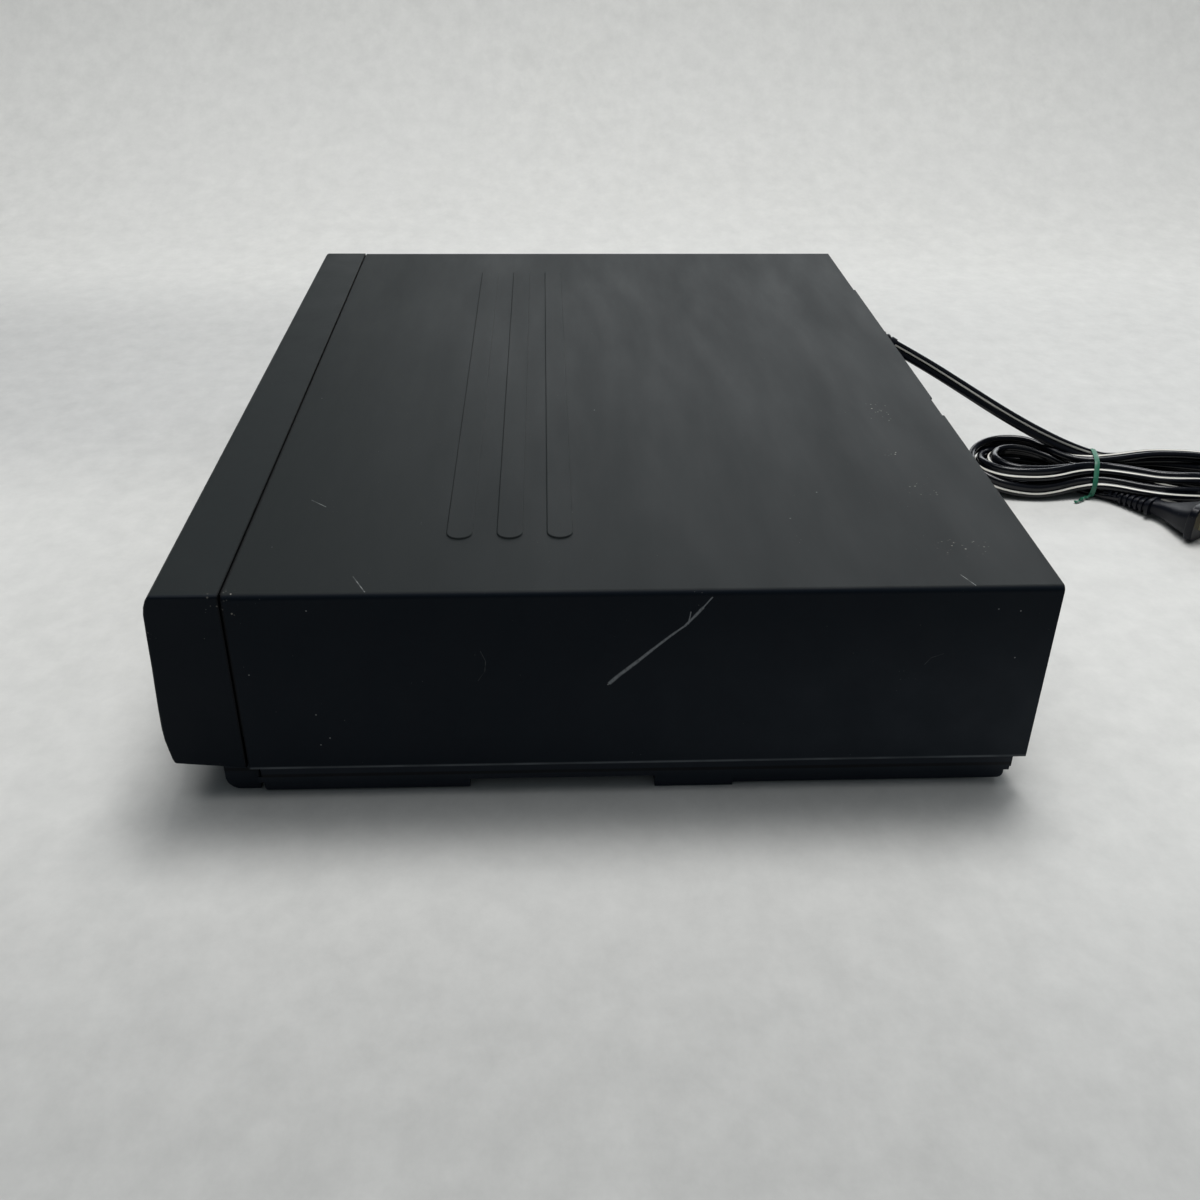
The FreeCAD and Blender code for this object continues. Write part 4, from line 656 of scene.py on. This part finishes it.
fine = m.math("MAXIMUM", fine, m.stroke([(190, -45.4, 59.4), (190, -43.9, 55.6), (190, -44.3, 51.6), (190, -46.6, 48.0)], [0.3, 0.34, 0.3]))
high = m.stroke([(178.6, -85.4, 81), (188.2, -80.6, 81)], [0.42])
high = m.math("MAXIMUM", high, m.stroke([(181.6, 109.3, 81), (188.4, 112.2, 81)], [0.38]))
high = m.math("MAXIMUM", high, m.stroke([(124.0, -107.0, 81), (129.4, -101.2, 81)], [0.38]))
high = m.math("MAXIMUM", high, m.spots([(43.0, -3.7, 81), (135.3, -14.9, 81), (28.6, -117.7, 81), (141.3, 61.0, 81), (121.1, 74.1, 81), (158.5, -114.6, 81)], 0.38))
col = m.mix(m.math("MULTIPLY", high, m.ranged(m.noise(500.0, 2.0), 0.35, 0.6, 0.25, 0.9)), col, (0.23, 0.24, 0.24))
col = m.mix(m.math("MULTIPLY", fine, m.ranged(m.noise(500.0, 2.0), 0.35, 0.6, 0.1, 0.7)), col, (0.075, 0.08, 0.083))
groups = m.spots(
    [(42.5, 113.7, 81), (52.1, 114.8, 81), (86.7, 112.4, 81), (120.0, 113.4, 81), (163.8, 112.2, 81), (162.6, 118.2, 81)],
    7.0,
)
dots = m.spots([(190, 120.5, 73.0), (190, 129.2, 54.2), (190, 127.8, 72.2), (190, -4.3, 45.8), (190, -99.0, 75.4), (190, -119.8, 51.5), (190, -100.2, 35.3), (190, -96.6, 25.7), (190, -99.9, 22.9)], 0.32)
col = m.mix(m.math("MULTIPLY", dots, 0.9), col, (0.30, 0.31, 0.31))
# painted highlight along the bottom hem of the cover
painted_hem_highlight = m.math("MULTIPLY", m.ranged(pos[2], 0.0140, 0.0136), m.ranged(m.noise(60.0, 2.0), 0.35, 0.6, 0.45, 0.9))
col = m.mix(painted_hem_highlight, col, (0.105, 0.118, 0.130))
groups = m.math("MAXIMUM", groups, m.spots([(188.0, -121.5, 80), (189.5, -122.6, 76)], 3.6))
chips = m.math("MULTIPLY", m.ranged(m.cells(640.0), 0.26, 0.13), m.ranged(m.noise(430.0, 1.0), 0.50, 0.58))
col = m.mix(m.math("MULTIPLY", m.math("MULTIPLY", groups, chips), 0.95), col, (0.30, 0.29, 0.26))
# painted shade along the seam gap between cover and front panel
seam_painted_shade = m.ranged(m.math("ABSOLUTE", m.math("ADD", pos[1], 0.1253)), 0.0011, 0.0004)
col = m.mix(m.math("MULTIPLY", seam_painted_shade, 0.8), col, (0.0015, 0.0015, 0.0018))
skin = m.noise(2300.0, 2.0, 0.6)
m.bump(skin, 0.16, 0.00003)
m.bump(m.math("SUBTRACT", 1.0, m.math("MAXIMUM", worn, fine)), 0.25, 0.00006)
rough = m.ranged(wipe, 0.32, 0.68, 0.50, 0.59)
rough = m.math("ADD", rough, m.math("MULTIPLY", m.math("MAXIMUM", worn, flecks), 0.25))
SLOTS["cover_steel"] = m.set(color=col, rough=rough, spec=0.085)

# front panel plastic: a shade duller than the paint, small nicks along its ends; painted light on its top, painted
# shade on its end walls and along the seam
m = Nodes("panel_plastic")
patch = m.noise(17.0, 4.0, 0.55)
PANEL = (0.0126, 0.0158, 0.0170)
col = m.mix(patch, tone(PANEL, 0.85), tone(PANEL, 1.15))
# painted light: the panel's top is made lighter
panel_top_painted_light = m.ranged(m.xyz()[2], 0.0796, 0.0806)
col = m.mix(m.math("MULTIPLY", panel_top_painted_light, 0.7), col, (0.0182, 0.0215, 0.0222))
# painted shade: the panel's end walls are darker and bluer
end_wall_painted_shade = m.ranged(m.math("ABSOLUTE", m.xyz()[0]), 0.1884, 0.1892)
col = m.mix(m.math("MULTIPLY", end_wall_painted_shade, 0.85), col, (0.0026, 0.0056, 0.0108))
fleck = m.math("MULTIPLY", m.ranged(m.cells(380.0), 0.08, 0.03), m.ranged(m.noise(80.0, 1.0), 0.60, 0.68))
col = m.mix(m.math("MULTIPLY", fleck, 0.6), col, (0.2, 0.2, 0.19))
nick = m.spots([(189, -127.6, 77.6), (189.5, -126.6, 79.4), (189, -148.8, 66.0), (189, -147.2, 17.6), (187, -143.4, 14.6)], 3.8)
chip = m.math("MULTIPLY", m.ranged(m.cells(560.0), 0.22, 0.12), m.ranged(m.noise(330.0, 1.0), 0.5, 0.58))
col = m.mix(m.math("MULTIPLY", nick, chip), col, (0.24, 0.23, 0.21))
# painted shade along the seam gap between panel and cover
seam_painted_shade = m.ranged(m.math("ABSOLUTE", m.math("ADD", m.xyz()[1], 0.1253)), 0.0011, 0.0004)
col = m.mix(m.math("MULTIPLY", seam_painted_shade, 0.8), col, (0.0015, 0.0015, 0.0018))
m.bump(m.noise(1700.0, 2.0, 0.6), 0.14, 0.00004)
SLOTS["panel_plastic"] = m.set(color=col, rough=m.ranged(m.noise(40.0, 4.0, 0.6), 0.3, 0.7, 0.44, 0.54), spec=0.085)


# base frame plastic: greyer than the paint, with painted shade darkening the ledge line along its skirts
m = Nodes("frame_plastic")
pos = m.xyz()
patch = m.noise(26.0, 3.0, 0.6)
col = m.mix(patch, (0.0085, 0.0130, 0.0205), (0.0150, 0.0208, 0.0310))
# painted shade along the ledge line of the skirts
ledge_painted_shade = m.ranged(m.math("ABSOLUTE", m.math("SUBTRACT", pos[2], 0.0086)), 0.0009, 0.0004)
col = m.mix(m.math("MULTIPLY", ledge_painted_shade, 0.75), col, (0.0020, 0.0020, 0.0024))
fleck = m.math("MULTIPLY", m.ranged(m.cells(420.0), 0.10, 0.04), m.ranged(m.noise(60.0, 1.0), 0.60, 0.68))
col = m.mix(m.math("MULTIPLY", fleck, 0.4), col, (0.22, 0.22, 0.21))
m.bump(m.noise(1600.0, 2.0, 0.6), 0.12, 0.00004)
SLOTS["frame_plastic"] = m.set(color=col, rough=m.ranged(m.noise(55.0, 3.0), 0.3, 0.7, 0.44, 0.56), spec=0.16)
SLOTS["rear_plastic"] = moulded("rear_plastic", (0.016, 0.017, 0.018), 0.52, 0.4, dust=0.4)
SLOTS["jack_plastic"] = moulded("jack_plastic", (0.014, 0.014, 0.015), 0.42, 0.45)
SLOTS["button_plastic"] = moulded("button_plastic", (0.021, 0.022, 0.024), 0.36, 0.45, grain=1100.0, strength=0.08)
SLOTS["rubber"] = moulded("rubber", (0.013, 0.013, 0.0135), 0.72, 0.3, grain=900.0, strength=0.25, dust=0.7)
SLOTS["white_acetal"] = moulded("white_acetal", (0.70, 0.69, 0.64), 0.34, 0.5, grain=700.0, strength=0.05, vary=0.05)
SLOTS["black_acetal"] = moulded("black_acetal", (0.022, 0.022, 0.023), 0.33, 0.5, grain=900.0, strength=0.06)
SLOTS["ribbon"] = moulded("ribbon", (0.60, 0.60, 0.56), 0.45, 0.4, grain=1200.0, strength=0.05, vary=0.06)
SLOTS["ferrite"] = moulded("ferrite", (0.055, 0.055, 0.058), 0.6, 0.5, grain=1300.0, strength=0.2)
SLOTS["capacitor_sleeve"] = moulded("capacitor_sleeve", (0.018, 0.022, 0.06), 0.25, 0.5, grain=500.0, strength=0.03)

m = Nodes("smoked_window")
m.bump(m.noise(140.0, 2.0, 0.5), 0.03, 0.00005)
smear = m.noise(48.0, 4.0, 0.6)
SLOTS["smoked_window"] = m.set(color=m.mix(smear, (0.0035, 0.0036, 0.0040), (0.0060, 0.0062, 0.0070)), rough=m.ranged(smear, 0.35, 0.7, 0.05, 0.13), spec=0.5, coat=0.4, coat_rough=0.04)

SLOTS["galvanised_steel"] = plated("galvanised_steel", (0.50, 0.51, 0.52), 0.38, spangle=0.45, streak=0.08)
SLOTS["tin_can"] = plated("tin_can", (0.60, 0.59, 0.56), 0.30, streak=0.06, axis=2)
SLOTS["nickel"] = plated("nickel", (0.68, 0.66, 0.61), 0.20, streak=0.03, axis=1, tarnish=0.08)
SLOTS["aluminium"] = plated("aluminium", (0.66, 0.66, 0.67), 0.36, streak=0.16, axis=2)
SLOTS["drum_aluminium"] = plated("drum_aluminium", (0.78, 0.78, 0.79), 0.16, streak=0.05, axis=2, tarnish=0.04)
SLOTS["motor_steel"] = plated("motor_steel", (0.48, 0.48, 0.48), 0.30, streak=0.06, axis=2)
SLOTS["polished_steel"] = plated("polished_steel", (0.70, 0.70, 0.71), 0.12, streak=0.02, axis=2, tarnish=0.04)
SLOTS["screw_steel"] = plated("screw_steel", (0.09, 0.09, 0.095), 0.36, streak=0.05, tarnish=0.3)
SLOTS["brass_blades"] = plated("brass_blades", (0.72, 0.64, 0.42), 0.26, streak=0.10, axis=0)

# laminated core with its wound coil: thin plate edges run round it
m = Nodes("transformer_core")
stack = m.noise(1500.0, 1.0, 0.4, at=m.stretched(1.0, 0.02, 0.02))
m.bump(stack, 0.4, 0.0001)
SLOTS["transformer_core"] = m.set(color=m.mix(stack, (0.10, 0.09, 0.08), (0.24, 0.21, 0.18)), rough=m.ranged(stack, 0.3, 0.7, 0.34, 0.55), metal=m.ranged(stack, 0.4, 0.6, 0.3, 0.7))

# phenolic board: paper fibre, and a faint print of tracks below the lacquer
m = Nodes("board")
fibre = m.noise(420.0, 3.0, 0.6, at=m.stretched(1.0, 0.25, 1.0))
track = m.node("ShaderNodeTexBrick", offset=0.37, squash=0.6)
m.put(track.inputs["Vector"], m.coords)
track.inputs["Scale"].default_value = 46.0
track.inputs["Mortar Size"].default_value = 0.022
track.inputs["Brick Width"].default_value = 0.9
track.inputs["Row Height"].default_value = 0.28
for k, v in (("Color1", (0, 0, 0, 1)), ("Color2", (0, 0, 0, 1)), ("Mortar", (1, 1, 1, 1))):
    track.inputs[k].default_value = v
lines = m.math("MULTIPLY", track.outputs["Color"], m.ranged(m.noise(24.0, 2.0), 0.42, 0.55))
col = m.mix(fibre, (0.20, 0.125, 0.045), (0.27, 0.175, 0.07))
col = m.mix(m.math("MULTIPLY", lines, 0.5), col, (0.10, 0.075, 0.03))
m.bump(lines, 0.2, 0.00005)
SLOTS["board"] = m.set(color=col, rough=m.ranged(fibre, 0.3, 0.7, 0.34, 0.46), spec=0.45)


def jack(name, color):
    """Plated shell with a coloured moulded ring at its root, as the material turns with the distance along the jack."""
    m = Nodes(name)
    away = m.ranged(m.xyz()[1], 0.1412, 0.1414)
    f = m.noise(60.0, 3.0)
    col = m.mix(away, m.mix(f, tone(color, 0.9), tone(color, 1.06)), m.mix(f, (0.60, 0.58, 0.53), (0.72, 0.70, 0.65)))
    m.bump(m.noise(900.0, 2.0), 0.06, 0.00003)
    return m.set(color=col, rough=m.ranged(f, 0.3, 0.7, 0.24, 0.34), metal=away, spec=0.5)


SLOTS["yellow_jack"] = jack("yellow_jack", (0.74, 0.50, 0.02))
SLOTS["white_jack"] = jack("white_jack", (0.78, 0.77, 0.73))
SLOTS["red_jack"] = jack("red_jack", (0.50, 0.015, 0.015))

# cord, plug and tie
m = Nodes("cord_pvc")
waves = m.noise(95.0, 2.0, 0.5)
m.bump(m.noise(520.0, 2.0, 0.5), 0.06, 0.00005)
SLOTS["cord_pvc"] = m.set(color=m.mix(waves, (0.0024, 0.0030, 0.0054), (0.0048, 0.0057, 0.0092)), rough=m.ranged(waves, 0.3, 0.7, 0.14, 0.22), spec=0.33)
m = Nodes("cord_tracer")
waves = m.noise(120.0, 3.0, 0.6)
m.bump(m.noise(700.0, 2.0), 0.05, 0.00004)
TRACER = m.set(color=m.mix(waves, (0.74, 0.72, 0.65), (0.87, 0.86, 0.80)), rough=m.ranged(waves, 0.3, 0.7, 0.32, 0.42), spec=0.5)
SLOTS["plug_pvc"] = moulded("plug_pvc", (0.0036, 0.0048, 0.0090), 0.38, 0.2, grain=1300.0, strength=0.10, dust=0.6)
m = Nodes("tie_green")
weave = m.noise(800.0, 3.0, 0.6)
m.bump(weave, 0.3, 0.00006)
SLOTS["tie_green"] = m.set(color=m.mix(weave, (0.010, 0.105, 0.060), (0.030, 0.205, 0.125)), rough=m.ranged(weave, 0.3, 0.7, 0.38, 0.55), spec=0.45)

NODE_SLOT = {
    "top_cover": "cover_steel", "front_panel": "panel_plastic", "display_window": "smoked_window", "base_frame": "frame_plastic", "bottom_plate": "galvanised_steel",
    "rubber_feet": "rubber", "rear_panel": "rear_plastic", "cover_screws": "screw_steel", "tuner_module": "tin_can", "antenna_sockets": "nickel",
    "av_jack_block": "jack_plastic", "video_jack": "yellow_jack", "audio_left_jack": "white_jack", "audio_right_jack": "red_jack", "channel_switch": "black_acetal",
    "main_board": "board", "power_board": "board", "transformer": "transformer_core", "heat_sink": "aluminium", "capacitors": "capacitor_sleeve", "front_board": "board",
    "ribbon_cable": "ribbon", "deck_plate": "galvanised_steel", "deck_supports": "galvanised_steel", "loader_frame": "galvanised_steel", "carriage_slider": "galvanised_steel",
    "cassette_holder": "galvanised_steel", "cassette_door": "panel_plastic", "supply_reel": "black_acetal", "take_up_reel": "black_acetal", "idler_wheel": "rubber",
    "idler_arm": "white_acetal", "tension_arm": "motor_steel", "drum_lower": "drum_aluminium", "drum_upper": "drum_aluminium", "drum_magnet": "ferrite", "capstan": "motor_steel",
    "capstan_stator": "board", "pinch_arm": "motor_steel", "pinch_roller": "rubber", "supply_post_carriage": "polished_steel", "take_up_post_carriage": "polished_steel",
    "cam_gear": "white_acetal", "loading_motor": "motor_steel", "control_head": "polished_steel", "erase_head": "polished_steel", "plug_blades": "brass_blades",
}
for b in ("power", "channel_down", "channel_up", "rewind", "play", "forward", "stop_eject", "record"):
    NODE_SLOT[b + "_button"] = "button_plastic"
for n, s in NODE_SLOT.items():
    o = bpy.data.objects[n]
    o.data.materials.clear()
    o.data.materials.append(SLOTS[s])
for o, s in ((gland, "plug_pvc"), (plug, "plug_pvc"), (tie, "tie_green")):
    o.data.materials.clear()
    o.data.materials.append(SLOTS[s])
mains_cord.data.materials.append(SLOTS["cord_pvc"])
mains_cord.data.materials.append(TRACER)

# ------------------------------------------------------------------------------------------------------------------
# Floor and backdrop in one pale sweep, with a painted shadow along its near edge and painted shade in its bend, and
# soft studio light from above and behind
# ------------------------------------------------------------------------------------------------------------------
profile = [(2.6, 0.0), (-0.42, 0.0)]
R = 0.34
for k in range(1, 21):
    g = math.radians(90 * k / 24)
    profile.append((-0.42 - R * math.sin(g), R - R * math.cos(g)))
verts, faces = [], []
for x, z in profile:
    verts += [(x, -2.6, z), (x, 2.6, z)]
for i in range(len(profile) - 1):
    faces.append((2 * i, 2 * i + 1, 2 * i + 3, 2 * i + 2))
sweep_mesh = bpy.data.meshes.new("sweep")
sweep_mesh.from_pydata(verts, [], faces)
for p in sweep_mesh.polygons:
    p.use_smooth = True
sweep = new_object("sweep", sweep_mesh)
m = Nodes("sweep_paper")
pos = m.xyz()
fibre = m.noise(64.0, 6.0, 0.70)
cloud = m.noise(7.0, 3.0, 0.5)
col = m.mix(m.ranged(fibre, 0.30, 0.70), (0.645, 0.646, 0.627), (0.750, 0.750, 0.728))
col = m.mix(m.math("MULTIPLY", cloud, 0.4), col, (0.70, 0.702, 0.695))
# painted shadow: the floor is darker towards its near edge
near_edge_painted_shadow = m.ranged(pos[0], 0.17, 0.37, smooth=True)
col = m.mix(m.math("MULTIPLY", near_edge_painted_shadow, 0.72), col, m.mix(m.ranged(fibre, 0.30, 0.70), (0.462, 0.465, 0.457), (0.540, 0.543, 0.533)))
# painted shade in the bend of the sweep, stronger towards -Y
bend_painted_shade = m.math("MULTIPLY", m.ranged(pos[0], 0.0, -0.15, smooth=True), m.ranged(pos[0], -0.46, -0.27, smooth=True))
bend_painted_shade = m.math("MULTIPLY", bend_painted_shade, m.ranged(pos[1], 0.30, -0.45, 0.4, 1.0))
col = m.mix(bend_painted_shade, col, m.mix(m.ranged(fibre, 0.30, 0.70), (0.492, 0.495, 0.490), (0.570, 0.572, 0.564)))
m.bump(m.noise(160.0, 4.0, 0.6), 0.10, 0.0004)
m.set(color=col, rough=0.85, spec=0.15)
sweep.data.materials.append(m.mat)


def area(name, place, aim, size, watts, color=(1, 1, 1)):
    d = bpy.data.lights.new(name, "AREA")
    d.shape = "RECTANGLE"
    d.size, d.size_y = size
    d.energy = watts
    d.color = color
    o = bpy.data.objects.new(name, d)
    scene.collection.objects.link(o)
    o.location = place
    o.rotation_euler = (Vector(aim) - Vector(place)).to_track_quat("-Z", "Y").to_euler()
    return o


area("key", (-0.42, 0.22, 1.75), (0.0, 0.0, 0.0), (0.75, 0.65), 20.0, (1.0, 0.995, 0.985))
area("top", (-0.1, -0.4, 1.9), (0.0, -0.2, 0.0), (1.6, 1.6), 13.0)
area("window", (-1.75, 0.85, 0.78), (0.0, 0.0, 0.05), (2.6, 0.7), 21.0, (0.95, 0.98, 1.0))
world = bpy.data.worlds.new("world")
scene.world = world
world.use_nodes = True
world.node_tree.nodes["Background"].inputs[0].default_value = (0.80, 0.92, 1.0, 1.0)
world.node_tree.nodes["Background"].inputs[1].default_value = 0.10
scene.view_settings.view_transform = "Standard"
